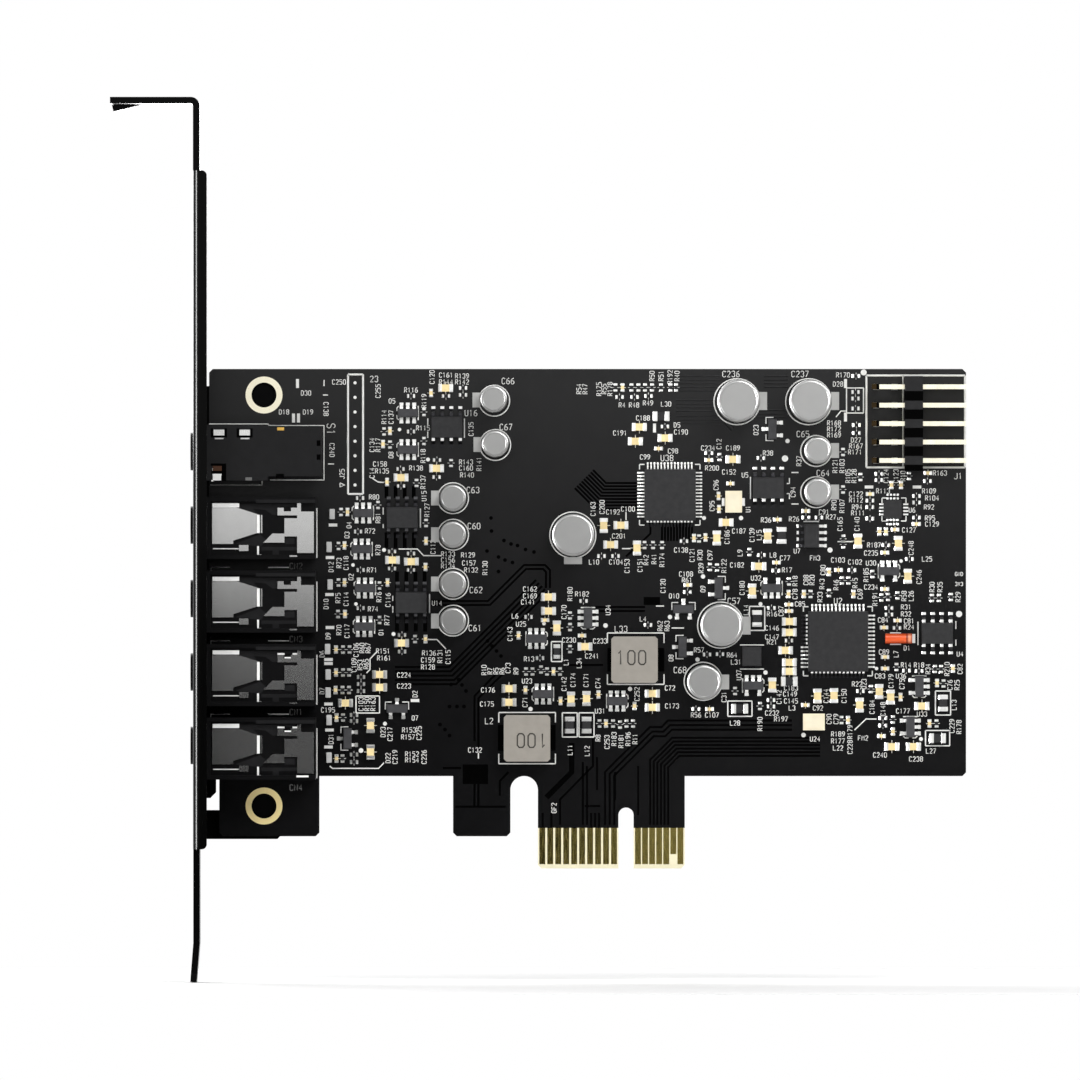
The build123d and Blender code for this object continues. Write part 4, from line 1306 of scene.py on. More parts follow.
@dataclass
class Transistors(SubAssembly):
    """The small moulded transistors with three, five or six leads, and the grey bar diodes.

    The places of each kind are listed by Side: the side that its first row of leads leaves from.
    """

    six_px: tuple[Path, ...] = (
        ((407.8, 413), (407.8, 449.6), (363, 513), (361.7, 549), (365, 588), (364.2, 626.5), (543, 694)),
        (), ((536.4, 638.5), (617.1, 701)), ((588, 618),),
    )
    five_px: tuple[Path, ...] = (
        ((771.7, 588),), (), ((753, 685.5), (888.8, 571)), ((919.3, 686.5), (910.3, 727)),
    )
    three_px: tuple[Path, ...] = (
        ((397, 708.5), (683.5, 609)), ((718.7, 588),), (), ((347.4, 738.5), (682.5, 647), (772.5, 429)),
    )
    diodes_px: tuple[Place, ...] = read_rows("""
        332,514 329,547 330,584.5 327.5,649 328,674.5 328,692.5 329,720 329,757.5
    """)
    length: float = 2.9 * MM
    width: float = 1.2 * MM
    height: float = 1.0 * MM
    foot: float = 0.1 * MM
    draft: float = 0.12 * MM
    reach: float = 1.34 * MM
    pitch: float = 0.88 * MM
    lead_width: float = 0.46 * MM
    lead_thickness: float = 0.14 * MM
    lead_tuck: float = 0.1 * MM
    lead_bends: tuple[Place, ...] = ((0.0, 0.5), (0.22 * MM, 0.45), (0.36 * MM, 0.1))
    lead_foot: float = 0.44 * MM
    solder_back: float = 0.1 * MM
    solder_half: Triple = (0.28 * MM, 0.17 * MM, 0.2 * MM)
    solder_bevel: float = 0.03 * MM
    diode_half: Place = (0.72 * MM, 0.38 * MM)
    diode_height: float = 0.6 * MM
    diode_bevel: float = 0.08 * MM

    def body(self) -> Form:
        """Draw the moulded body.

        Returns:
            The body.
        """
        half_x, half_z = self.length / 2, self.width / 2
        low, high = Vector((-half_x, -self.height, -half_z)), Vector((half_x, -self.foot, half_z))
        form = Form()
        form.drafted(low, high, self.draft)
        return form

    def leads(self, upper: tuple[int, ...], lower: tuple[int, ...]) -> Form:
        """Draw the leads.

        Args:
            upper: Steps of pitch from the middle to each lead on the upper side.
            lower: The same on the lower side.

        Returns:
            The leads with their solder.
        """
        form = Form()
        half = self.lead_thickness / 2
        start = self.width / 2 - self.lead_tuck
        wide, rise, deep = self.solder_half
        for sign, steps in ((1, upper), (-1, lower)):
            path = [(sign * (start + out), self.height * share) for out, share in self.lead_bends]
            path += [(sign * (start + self.lead_foot), half), (sign * self.reach, half)]
            end = sign * (self.reach - self.solder_back)
            for step in steps:
                x = step * self.pitch
                form.strip(path, self.lead_thickness, self.lead_width, x)
                low, high = Vector((x - wide, -rise, end - deep)), Vector((x + wide, 0.0, end + deep))
                form.block(low, high, self.solder_bevel)
        return form

    def build(self) -> None:
        """Build the transistors and the bar diodes."""
        for name, by_side, upper, lower in (
            ("transistors_six", self.six_px, (-1, 0, 1), (-1, 0, 1)),
            ("transistors_five", self.five_px, (-1, 1), (-1, 0, 1)),
            ("transistors_three", self.three_px, (0,), (-1, 1)),
        ):
            places = []
            for side, group in zip(Side, by_side):
                places += [(PLANE.point(*place), side.value) for place in group]
            leads = (self.leads(upper, lower), "solder")
            self.place(name, places, "chip_moulding", (self.body(), "small_moulding"), leads)
        form = Form()
        half_x, half_z = self.diode_half
        form.brick((-half_x, half_x), self.diode_height, half_z, self.diode_bevel)
        places = [(PLANE.point(*place), Turn.UP.value) for place in self.diodes_px]
        self.place("bar_diodes", places, "cream_ceramic", (form, "pale_block"))


class StrokeFont:
    """A plain stroke alphabet for the board's reference labels, on a grid 4 wide and 6 high."""

    GLYPHS: dict[str, str] = {
        "0": "1,0 3,0 4,1 4,5 3,6 1,6 0,5 0,1 1,0",
        "1": "0.8,4.8 2,6 2,0",
        "2": "0,5 1,6 3,6 4,5 4,4 0,0 4,0",
        "3": "0,5 1,6 3,6 4,5 4,4 3,3.2 4,2 4,1 3,0 1,0 0,1",
        "4": "3,0 3,6 0,2 4,2",
        "5": "4,6 0,6 0,3.5 3,3.5 4,2.5 4,1 3,0 0,0",
        "6": "3.5,6 1,5 0,3 0,1 1,0 3,0 4,1 4,2.2 3,3.2 0,3",
        "7": "0,6 4,6 1,0",
        "8": "1,3.2 0,4 0,5 1,6 3,6 4,5 4,4 3,3.2 1,3.2 0,2 0,1 1,0 3,0 4,1 4,2 3,3.2",
        "9": "0.5,0 3,1 4,3 4,5 3,6 1,6 0,5 0,4 1,3 4,3",
        "C": "4,5 3,6 1,6 0,5 0,1 1,0 3,0 4,1",
        "D": "0,0 0,6 2.5,6 4,4.5 4,1.5 2.5,0 0,0",
        "F": "4,6 0,6 0,0 / 0,3 3,3",
        "G": "4,5 3,6 1,6 0,5 0,1 1,0 3,0 4,1 4,3 2.2,3",
        "J": "4,6 4,1 3,0 1,0 0,1",
        "L": "0,6 0,0 4,0",
        "M": "0,0 0,6 2,3 4,6 4,0",
        "N": "0,0 0,6 4,0 4,6",
        "Q": "1,0 3,0 4,1 4,5 3,6 1,6 0,5 0,1 1,0 / 2.5,1.5 4,0",
        "R": "0,0 0,6 3,6 4,5 4,4 3,3 0,3 / 2,3 4,0",
        "S": "4,5 3,6 1,6 0,5 0,4 1,3.2 3,2.8 4,2 4,1 3,0 1,0 0,1",
        "U": "0,6 0,1 1,0 3,0 4,1 4,6",
        "V": "0,6 2,0 4,6",
    }
    ADVANCE = 6.2
    WIDTH = 4.0
    HEIGHT = 6.0
    SLIM = 0.76

    @classmethod
    def strokes(cls, text: str, middle: Place, height_px: float, turn: Turn) -> list[list[Place]]:
        """Draw a word.

        Args:
            text: The word.
            middle: Its middle in pixels of the photograph.
            height_px: Height of its capitals in pixels.
            turn: Which way it reads.

        Returns:
            The strokes, in pixels of the photograph.
        """
        tall = height_px / cls.HEIGHT
        wide = tall * cls.SLIM
        start = (cls.ADVANCE * (len(text) - 1) + cls.WIDTH) / 2
        drawn = []
        for i, letter in enumerate(text):
            left = i * cls.ADVANCE - start
            for stroke in read_paths(cls.GLYPHS[letter]):
                line = [((x + left) * wide, (y - cls.HEIGHT / 2) * tall) for x, y in stroke]
                drawn.append(drawn_at(middle, line, turn.value))
        return drawn


@dataclass
class Printing(SubAssembly):
    """The white printing: labels, part outlines, rings round the cans, pin-one dots and polarity bars."""

    label_pen: Pen = Pen(0.105 * MM)
    line_pen: Pen = Pen(0.165 * MM)
    # The jack print is whiter than the other print: painted light against the shade between the jacks.
    jack_pen: Pen = Pen(0.165 * MM, "bright_edge")
    # The jack labels are in grey ink: painted shade.
    painted_shade_pen: Pen = Pen(0.165 * MM, "faint_ink")
    bold_pen: Pen = Pen(0.27 * MM)
    tick_pen: Pen = Pen(0.09 * MM)
    thickness: float = 0.02 * MM
    block_thickness: float = 0.026 * MM
    ring_gap_px: float = 0.9
    ring_lean: float = 0.005
    ring_sides: int = 40
    picture_middle_px: float = 540.0
    block_px: float = 7.0
    block_lap_px: float = 1.0
    small_block_half_px: float = 7.4
    large_block_half_px: float = 9.0
    large_can: float = 6.0
    label_height_px: float = 4.6
    tall_height_px: float = 5.8
    tall_labels_px: tuple[Label, ...] = read_labels("""
        C66,508,381 C67,506,427 C63,473,490 C60,474,526 C62,476,590 C61,475,628 C236,731,374 C237,800,374
        C65,803,434 C64,823,473 C57,734,601 C68,680,670 L2,489,721 L33,621,629 J1,958,476 23,374,379
        U16,471,413 U38,667,458 U2,838,601
    """)
    level_labels_px: tuple[Label, ...] = read_labels("""
        C250,339,382 D30,306,393 D18,284,412 D19,308,412 Q5,392,401 C158,380,464 R135,382,471 R80,374,497
        C161,446,375 R144,446,382 R139,462,376 R142,462,382 R116,411,390 R115,423,428 R143,466,462
        C160,466,468 R140,467,475 R138,416,468 U14,437,603 R4,622,405 R48,634,405 R49,648,403 L30,666,404
        C188,643,418 C191,620,433 D5,677,425 C190,681,432 C98,673,451 C99,645,457 C234,708,448 C189,733,448
        R200,712,468 C152,729,472 U5,745,475 R38,768,453 R170,843,375 D28,838,384 R168,834,423 R172,834,429
        R169,834,435 D27,856,440 R167,856,446 R171,855,452 R163,940,473 R109,929,491 R104,932,498
        R92,929,507 R95,930,518 C129,932,524 C122,856,494 R112,856,500 R94,857,507 R111,858,513 R113,883,491
        U6,912,510 R26,794,519 C91,824,512 R27,831,517 U7,797,551 FM3,815,558 C103,838,560 C102,855,562
        C127,909,530 R187,874,545 C235,871,553 L25,927,559 U30,871,563 R72,370,531 R71,372,570 R74,373,609
        R133,448,554 C156,448,560 R134,448,566 R129,468,555 C157,469,563 R132,471,570 C162,530,589
        C169,530,596 C141,528,602 R182,582,594 C192,613,512 C100,628,509 C201,619,536 L10,594,562
        C104,616,562 C138,681,550 C187,739,531 R36,766,520 L8,773,555 C182,737,565 C108,686,574 R61,687,580
        U32,756,578 Q10,674,596 C77,785,558 R17,787,570 C85,800,604 C234,871,587 R31,906,607 R32,906,614
        R151,383,651 R161,384,658 C195,328,710 R136,429,653 C159,428,660 R128,428,667 C224,404,675
        C223,404,686 Q7,415,718 L6,515,616 U25,521,624 C230,569,640 R13,529,659 C176,488,690 C175,487,704
        U23,527,681 C233,600,641 C241,592,656 L4,643,619 R57,699,650 R64,732,655 L31,736,662 R16,772,614
        C146,772,628 C147,772,637 R21,772,642 C232,772,713 L28,735,723 R56,696,715 C107,712,715 U31,600,711
        C72,670,688 C173,672,706 C183,791,688 C149,790,694 C145,791,701 L3,792,708 C92,818,708 R197,781,719
        R22,857,684 C84,883,620 C81,909,621 R24,909,627 D1,907,648 U4,960,654 C89,884,652 C83,880,676
        U36,901,676 R14,906,665 R18,919,665 C177,903,711 U33,922,714 C240,880,755 C238,916,759 L27,931,751
        U24,815,739 R189,838,734 R177,838,741 L22,838,748 FM2,863,738 R153,409,730 R157,408,737 R152,412,754
        R154,412,760 C132,475,750
    """)
    jack_labels_px: tuple[Label, ...] = read_labels("CN2,296,566 CN3,296,639 CN1,296,712 CN4,296,787.5")
    switch_label_px: tuple[Label, ...] = (("S1", 331, 429),)
    switch_height_px: float = 8.0
    supply_labels_px: tuple[Label, ...] = (("GND", 959, 574), ("3V3", 959, 584))
    supply_height_px: float = 3.6
    falling_labels_px: tuple[Label, ...] = (("C138", 326, 409), ("C240", 332, 450))
    rising_labels_px: tuple[Label, ...] = read_labels("""
        J25,342,474 C255,378,391 R114,384,417 C137,391,417 C134,372,445 R117,378,445 Q8,391,455 C120,432,377
        R119,424,401 C135,471,429 R118,423,456 R141,479,464 R137,423,482 U15,424,496 R54,579,389 R47,585,389
        R175,599,389 R55,604,389 R178,610,389 R50,652,376 R51,661,376 R192,670,377 R40,677,376 C12,719,444
        Q23,756,430 R121,835,466 R103,842,466 R37,799,461 C124,886,476 C123,896,476 R10,903,476 C140,857,524
        C165,840,524 C248,911,548 C246,919,577 R81,378,518 Q4,349,525 Q3,347,535 R78,378,550 D12,331,567
        R73,339,563 C118,346,563 Q2,351,577 R76,379,597 C116,388,600 D10,326,604 R75,338,598 C114,346,599
        R127,427,510 C112,433,547 R130,485,568 R180,570,594 C163,593,509 C200,602,507 C153,627,566
        C151,640,565 R42,646,560 R41,654,559 R174,662,560 C121,692,555 R30,700,555 C97,710,555 C186,727,537
        C95,712,506 U1,748,509 C139,752,535 L15,759,535 L9,740,553 R39,701,568 C120,663,586 C180,742,588
        Q9,703,589 L14,746,610 R18,795,581 C88,806,580 R20,812,580 C80,823,570 C78,795,594 C69,860,594
        R58,904,596 L26,911,596 R185,866,575 R191,875,599 R34,928,669 R210,947,669 Q23,864,684 R29,958,597
        Q1,381,632 R77,387,620 D9,328,636 R122,724,566 R43,822,584 R46,836,585 R45,855,583 R33,820,597
        C142,779,697 C96,716,485 C94,793,492 R105,848,476 R128,854,476 R90,834,505 R107,842,506 C14,372,473
        R70,339,630 C117,347,631 C106,356,650 R60,362,648 R67,368,648 C109,354,665 R53,360,665 R65,366,664
        D6,322,654 D7,322,691 R131,440,656 C115,448,657 D2,415,694 C143,510,634 C170,564,612 R10,484,670
        R7,490,671 R5,496,671 R6,502,671 C73,508,668 R9,516,671 L1,566,662 L34,579,663 C71,525,702
        C142,564,684 C174,573,680 C171,586,680 U34,608,610 R62,660,626 R63,667,626 Q8,671,658 U37,739,675
        C31,724,697 R190,760,724 C74,598,683 C252,637,694 C87,781,611 C144,826,696 C150,844,696 C184,872,707
        C179,891,681 C75,902,684 C148,883,709 C90,829,719 C79,836,719 L7,896,654 C82,960,669 C76,950,685
        R25,957,685 L13,954,705 C229,952,726 R178,959,727 R179,850,732 C228,850,747 D31,331,739 D23,383,732
        D22,388,758 C217,390,734 C219,395,757 C225,419,733 C226,424,757 L11,570,750 L12,587,751 GF2,554,808
        R8,598,738 C253,607,742 R183,614,739 R181,621,741 R196,628,739 R11,635,739 R30,932,587 R35,940,587
        C103,361,704 R150,367,704 R163,373,704
    """)
    bold_boxes_px: tuple[Box, ...] = ((348, 374.5, 363, 494), (866.4, 375.5, 965, 467.4))
    boxes_px: tuple[Box, ...] = read_rows("""
        846.5,388,863.5,413 356,696,379.5,713 551.4,641.6,562,661.5 562.3,712.8,577.2,737 579,712.8,594,737
        749.4,606.4,764.7,630.4 727.8,701,752,716.3 935.4,691,950.6,715 925.5,730.5,949.7,745.8
    """)
    lines_px: tuple[Path, ...] = read_paths("""
        846,411 841,411 836,417 / 398.7,549 417.4,549 423.6,555.6 441,555.6 / 427,639.5 437,639.5 446,649 /
        377,651.5 370,659 370,669.5 366.5,673 / 329.7,766 332.5,768.4 378.5,768.4 384,762.8 / 854.5,730
        866,719 876.5,719 / 209,424 268,424 268,425.5 324,425.5 324,480 270,480 / 210,485 262,485 262,481 /
        903,375 903,467.6 / 740,645 764,645 / 740,669 764,669 / 890,633 901,633 / 890,644.3 901,644.3 /
        464.4,418.5 464.4,437.8 / 420.4,508.5 420.4,527.7 / 429.5,594 429.5,613 / 750.5,477 750.5,499 /
        918,621.7 918,645 / 955.8,621 955.8,629 / 955.8,639.5 955.8,645.7 / 803.5,521.5 819,521.5 /
        671.6,628 684,628 / 913,675.8 926,675.8 / 324,380 324,386 / 323,395 328,395 / 328,464 334,464 /
        791.5,472.5 798.5,472.5 / 791.5,504 798.5,504 / 656,606 664,606 / 626,512 626,520 / 622,548.6
        630.5,548.6 / 478.4,752.8 478.4,758.6 / 372,478 378,482 384,482.5 / 837.6,541.6 853,541.6 / 340,483
        344.8,485 340,487 340,483 / 789.4,478 789.4,483.5 786.8,483.5 / 786.8,493.6 789.4,493.6 789.4,499 /
        427.8,418.5 427.8,425 / 427.8,431.5 427.8,437.8 / 383.2,507.5 383.2,514.5 / 383.2,524 383.2,528 /
        392.8,595.8 392.8,601 / 392.8,606 392.8,612.5
    """)
    jack_side_px: Path = ((316.8, -17), (316.8, 33))
    jack_corner_px: Path = ((211, 20), (211, 33), (284, 33))
    between_jacks_px: tuple[Path, ...] = (((230, -31), (211, -31), (211, -24)), ((268, -31), (289, -31)))
    line_mark_px: tuple[Path, ...] = (((10.4, -7.2), (10.4, 7.2)),)
    hook_marks_px: tuple[Path, ...] = read_paths("-9,7 -10.8,5.2 -10.8,1.8 / -9,-7 -10.8,-5.2 -10.8,-1.8")
    bracket_marks_px: tuple[Path, ...] = read_paths("""
        5.3,6.5 11.6,6.5 11.6,-1 / -5.3,6.5 -11.6,6.5 -11.6,-1
    """)
    header_dots: int = 8
    header_dots_from_px: Place = (355, 382.8)
    header_dots_step_px: float = 14.6
    header_dot_px: float = 1.6
    dot_sides: int = 14
    inductor_frames_px: tuple[Box, ...] = ((607.4, 633, 664, 684.3), (498.8, 712.5, 555.4, 763.7))
    inductor_arm_px: float = 10.0
    quad_corners_px: tuple[Box, ...] = read_rows("""
        639.5,464.4,700,525 803.4,606.7,872.3,675.8 882,498,906,521
    """)
    quad_arm_px: float = 5.0
    cans_px: tuple[tuple[float, float, float, Side], ...] = (
        (494, 400, 4, Side.LEFT), (495, 444.5, 4, Side.LEFT), (452.6, 498, 4, Side.LEFT),
        (452.6, 534.7, 4, Side.LEFT), (452.6, 584, 4, Side.LEFT), (452.6, 621, 4, Side.LEFT),
        (817.5, 450.5, 4, Side.RIGHT), (817.5, 492, 4, Side.RIGHT), (704, 682, 5, Side.RIGHT),
        (573, 535, 6.1, Side.BOTTOM), (738, 401, 6.1, Side.RIGHT), (810, 401, 6.1, Side.RIGHT),
        (721.5, 625.5, 6.1, Side.RIGHT),
    )
    dots_px: tuple[tuple[float, float, float], ...] = read_rows("""
        399.5,429.5,1.8 428,459.5,2 353,565,1.8 356,604,1.8 787.5,441,2.2 785,458.5,3.2 704,518,2
        741,518,2.2 703,576.5,2.2 830,550,2.6 901,561,1.8 959,614,3.2 605.5,625.5,2.3 670,617,2.2
        697.5,659.5,2.2 765.5,672.5,2.2 630,689,2.2 530.5,709,2.2 803.5,735,2.3 876.5,668.5,1.8 393.5,634,2
        921,739,2 760.5,604,2 384,550,2 361,750.5,2.4 385,723.7,2 544,623.5,1.8 863.7,372.4,3
    """)
    level_bars_px: tuple[Place, ...] = read_rows("""
        333,525 330,557.5 329.5,594.5 330,627.5 328.5,659.5 328.5,663.5 328.5,704 329.5,730 328.5,747
        869,487 917,487 415,700.5
    """)
    level_bar_half_px: Place = (4.25, 1.5)
    upright_bars_px: tuple[Place, ...] = read_rows("""
        297.5,383.5 293.5,418 298.5,418 845.5,383.5 845.5,417 654.5,428 913.7,638.5
    """)
    upright_bar_half_px: Place = (1.5, 4.5)
    small_tick_px: float = 3.4
    large_tick_px: float = 6.4

    @staticmethod
    def words(labels: tuple[Label, ...], height_px: float, turn: Turn) -> list[list[Place]]:
        """Return the strokes of labels, by the height of their capitals and the way they read."""
        drawn = [StrokeFont.strokes(text, (px, py), height_px, turn) for text, px, py in labels]
        return [stroke for word in drawn for stroke in word]

    def labels(self) -> None:
        """Print the reference labels."""
        drawn: list[list[Place]] = []
        for labels, height_px, turn in (
            (self.tall_labels_px, self.tall_height_px, Turn.LEVEL),
            (self.level_labels_px, self.label_height_px, Turn.LEVEL),
            (self.rising_labels_px, self.label_height_px, Turn.UP),
            (self.falling_labels_px, self.label_height_px, Turn.DOWN),
            (self.supply_labels_px, self.supply_height_px, Turn.LEVEL),
            (self.switch_label_px, self.switch_height_px, Turn.DOWN),
        ):
            drawn += self.words(labels, height_px, turn)
        self.lay("labels", drawn, self.label_pen)

    def jack_lines(self) -> None:
        """Print the lines between the jacks, and the labels below them in grey ink, as painted shade."""
        lines = [from_axis(self.jack_corner_px, axis) for axis in JACK_AXES_PX]
        lines += [from_axis(path, axis) for axis in JACK_AXES_PX[1:] for path in self.between_jacks_px]
        self.lay("jack_print", lines, self.jack_pen)
        faint = self.words(self.jack_labels_px, self.tall_height_px, Turn.LEVEL)
        self.lay("jack_labels", faint, self.painted_shade_pen)

    @staticmethod
    def corners(box: Box, arm_x: float, arm_y: float) -> list[list[Place]]:
        """Draw a box, or its corners only.

        Args:
            box: Its left, top, right and bottom.
            arm_x: Length of the arms along its upper and lower side.
            arm_y: Length of the arms along the other sides.

        Returns:
            The arms, two from each corner.
        """
        left, top, right, bottom = box
        arms = []
        for x, inward_x in ((left, arm_x), (right, -arm_x)):
            for y, inward_y in ((top, arm_y), (bottom, -arm_y)):
                arms += [[(x, y), (x + inward_x, y)], [(x, y), (x, y + inward_y)]]
        return arms

    @staticmethod
    def square(left: float, top: float, right: float, bottom: float) -> list[list[Place]]:
        """Return the four sides of a printed box."""
        turns = ((left, top), (right, top), (right, bottom), (left, bottom), (left, top))
        return [list(side) for side in zip(turns, turns[1:])]

    def rings(self) -> list[list[Place]]:
        """Draw the ring round each can.

        Returns:
            The rings, in pixels of the photograph.
        """
        turns = [math.tau * i / self.ring_sides for i in range(self.ring_sides + 1)]
        rings = []
        for px, py, width, _ in self.cans_px:
            radius = width / 2 * PLANE.pixels_per_mm + self.ring_gap_px
            x = px + (self.picture_middle_px - px) * self.ring_lean
            y = py + (self.picture_middle_px - py) * self.ring_lean
            rings.append([(x + radius * math.cos(turn), y + radius * math.sin(turn)) for turn in turns])
        return rings

    def outlines(self) -> None:
        """Print boxes, lines, rings and corner marks."""
        paths = [*self.lines_px, *self.rings()]
        for box in self.boxes_px:
            paths += self.square(*box)
        for box in self.inductor_frames_px:
            paths += self.corners(box, (box[2] - box[0]) / 2, self.inductor_arm_px)
        for box in self.quad_corners_px:
            paths += self.corners(box, self.quad_arm_px, self.quad_arm_px)
        paths += [from_axis(self.jack_side_px, axis) for axis in JACK_AXES_PX]
        line_and_hooks = self.line_mark_px + self.hook_marks_px
        for kinds, marks in (
            (Transistors.six_px, line_and_hooks),
            (Transistors.five_px, line_and_hooks),
            (Transistors.three_px, self.bracket_marks_px),
        ):
            for side, places in zip(Side, kinds):
                paths += [drawn_at(place, mark, -side.value) for place in places for mark in marks]
        self.lay("outlines", paths, self.line_pen)
        bold = [side for box in self.bold_boxes_px for side in self.square(*box)]
        self.lay("bold_boxes", bold, self.bold_pen)

    def ticks(self) -> None:
        """Print the fine line that crosses under the middle of each chip part."""
        chips = ChipField
        paths = []
        for level, upright, half in (
            (chips.resistors_level_px, chips.resistors_upright_px, self.small_tick_px),
            (chips.small_caps_level_px, chips.small_caps_upright_px, self.small_tick_px),
            (chips.large_caps_level_px, chips.large_caps_upright_px, self.large_tick_px),
        ):
            paths += [[(px, py - half), (px, py + half)] for px, py in level]
            paths += [[(px - half, py), (px + half, py)] for px, py in upright]
        self.lay("part_ticks", paths, self.tick_pen)

    def marks(self) -> None:
        """Print the dots and the polarity bars."""
        form = Form()
        column_px, first_px = self.header_dots_from_px
        rows = [first_px + i * self.header_dots_step_px for i in range(self.header_dots)]
        for px, py, radius in [*self.dots_px, *((column_px, row, self.header_dot_px) for row in rows)]:
            form.disc(PLANE.point(px, py), PLANE.span(radius), (0.0, self.thickness), self.dot_sides)
        for places, (half_x, half_y) in (
            (self.level_bars_px, self.level_bar_half_px), (self.upright_bars_px, self.upright_bar_half_px)
        ):
            for px, py in places:
                form.slab((px - half_x, py - half_y, px + half_x, py + half_y), 0.0, self.thickness)
        self.keep(form, "marks", "ink", "cream_ceramic")

    def blocks(self) -> None:
        """Print the block beside each can."""
        form = Form()
        for px, py, width, side in self.cans_px:
            radius = width / 2 * PLANE.pixels_per_mm
            inner, outer = radius - self.block_lap_px, radius + self.block_px
            half = self.small_block_half_px if width < self.large_can else self.large_block_half_px
            box = {
                Side.LEFT: (px - outer, py - half, px - inner, py + half),
                Side.RIGHT: (px + inner, py - half, px + outer, py + half),
                Side.BOTTOM: (px - half, py + radius, px + half, py + outer),
            }[side]
            form.slab(box, 0.0, self.block_thickness)
        self.keep(form, "polarity_blocks", "grey_block", "cream_ceramic")

    def build(self) -> None:
        """Print everything."""
        self.labels()
        self.jack_lines()
        self.outlines()
        self.ticks()
        self.marks()
        self.blocks()


@dataclass
class Traces(SubAssembly):
    """The gaps beside the traces, fields without copper and plugged vias, seen through the solder mask."""

    depth: float = 0.012 * MM
    gap_pen: Pen = Pen(0.29 * MM, "bare_gap", depth)
    soft_pen: Pen = Pen(0.29 * MM, "mask_gap", depth)
    wide_pen: Pen = Pen(0.75 * MM, "bare_gap", depth)
    strip_pen: Pen = Pen(0.52 * MM, "bare_gap", depth)
    via_radius: float = 0.26 * MM
    via_sides: int = 10
    gaps_px: tuple[Path, ...] = read_paths("""
        430,601 488,601 524,565 545,565 550,570 550,588 / 430,605 490,605 526,569 543,569 546,572 546,588 /
        566,665 603,665 / 498.8,671 474.5,696 474.5,741 / 503.7,673 478.4,698.4 478.4,750 / 593,737 593,766
        560,799.5 560,824.8 / 443,768 461,768 / 455,806.7 505.6,806.7 / 474.5,784 474.5,806.7 / 478.4,784
        478.4,806.7 / 508.5,772 499.8,781 499.8,795.6 / 650.4,523.2 650.4,533.7 626,556.5 / 582.8,762
        582.8,824.8 / 587,766 587,824.8 / 597,757 597,790 / 615,772 615,800 / 638,766 638,815 / 584.8,806
        592,806 600,806
    """)
    bundles_px: tuple[tuple[int, float, Path], ...] = (
        (5, 4.3, ((395, 667), (449, 667), (536, 580))), (2, 4, ((595, 607), (645, 607))),
        (3, -4.6, ((792, 720.5), (668, 720.5), (661.5, 727), (650, 727), (605, 772), (605, 824.8))),
        (6, -3.6, ((820, 737.8), (672, 737.8), (650, 759.8), (650, 824.8))),
        (9, 3.2, ((593, 470), (606, 483), (637, 483))), (11, 3, ((662, 541), (662, 524))),
        (2, 8.7, ((542.6, 827), (542.6, 813))), (3, 4, ((591, 827), (591, 813))),
    )
    soft_bundles_px: tuple[tuple[int, float, Path], ...] = (
        (5, 3.6, ((676, 376), (722, 376))), (4, 3.6, ((764, 376), (788, 376))),
        (4, 3.6, ((676, 400), (715, 400))), (3, 3.6, ((676, 416), (726, 416), (736, 426))),
        (3, 3.6, ((756, 410), (788, 410))),
    )
    wide_px: tuple[Path, ...] = (((571.7, 743), (571.7, 772), (546.5, 797.5)),)
    fields_px: tuple[Box, ...] = read_rows("""
        643.7,597,660,605 462.8,764.5,488,784 498,725,503.5,750.6 549.8,725,555.5,750.6 607.5,648,611,671.4
        657.4,648,664.3,671.4
    """)
    strips_px: tuple[Box, ...] = read_rows("""
        386.5,532.5,9.1,548 386.5,486,9.1,498 397,571.5,9.2,590.5 397,615,9.4,631.5
    """)
    strips_in_row: int = 4
    vias_px: tuple[Place, ...] = read_rows("""
        491,518 491.5,531 504,540.5 511,544 517.5,545.5 525.5,549.5 534,552 487,551 498.5,557 505,560
        512.5,562.5 498.5,571.5 487.5,641 492,646 496.5,651 501,656 458.5,679.5 451,684.5 462,685 466,691
        449.5,706.5 457,706.5 464,706.5 440,724.5 445,729.5 449.5,735.5
    """)

    @staticmethod
    def alongside(path: Path, distance: float) -> list[Place]:
        """Draw a path that keeps a distance to the right of another, seen along it, with mitred corners.

        Args:
            path: The other path.
            distance: The distance in pixels.

        Returns:
            The path.
        """
        moved = []
        for i, (px, py) in enumerate(path):
            before, after = path[max(i - 1, 0)], path[min(i + 1, len(path) - 1)]
            came = (Vector((px, py)) - Vector(before)).normalized()
            goes = (Vector(after) - Vector((px, py))).normalized()
            mitre = (came if came.length else goes) + (goes if goes.length else came)
            reach = 2 * distance / mitre.length_squared
            moved.append((px - mitre.y * reach, py + mitre.x * reach))
        return moved

    def bundle(self, bundles: tuple[tuple[int, float, Path], ...]) -> list[list[Place]]:
        """Return the gaps of bundles, given as a count, a spacing and the path of the first gap."""
        return [self.alongside(path, i * spacing) for count, spacing, path in bundles for i in range(count)]

    def build(self) -> None:
        """Lay the gaps, then the fields and the vias on both faces."""
        strips = []
        for first, top, step, bottom in self.strips_px:
            columns = [first + i * step for i in range(self.strips_in_row)]
            strips += [((column, top), (column, bottom)) for column in columns]
        self.lay("trace_gaps", [*self.gaps_px, *self.bundle(self.bundles_px)], self.gap_pen, "board")
        self.lay("soft_gaps", self.bundle(self.soft_bundles_px), self.soft_pen, "board")
        self.lay("wide_gaps", self.wide_px, self.wide_pen, "board")
        self.lay("lead_gaps", strips, self.strip_pen, "board")
        form = Form()
        for box in self.fields_px:
            form.slab(box, 0.0, self.depth)
        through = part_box("circuit_board")[1].y - PLANE.face_y + self.depth
        for place in self.vias_px:
            for low in (0.0, -through):
                form.disc(PLANE.point(*place), self.via_radius, (low, low + self.depth), self.via_sides)
        self.keep(form, "vias", "bare_gap", "board")


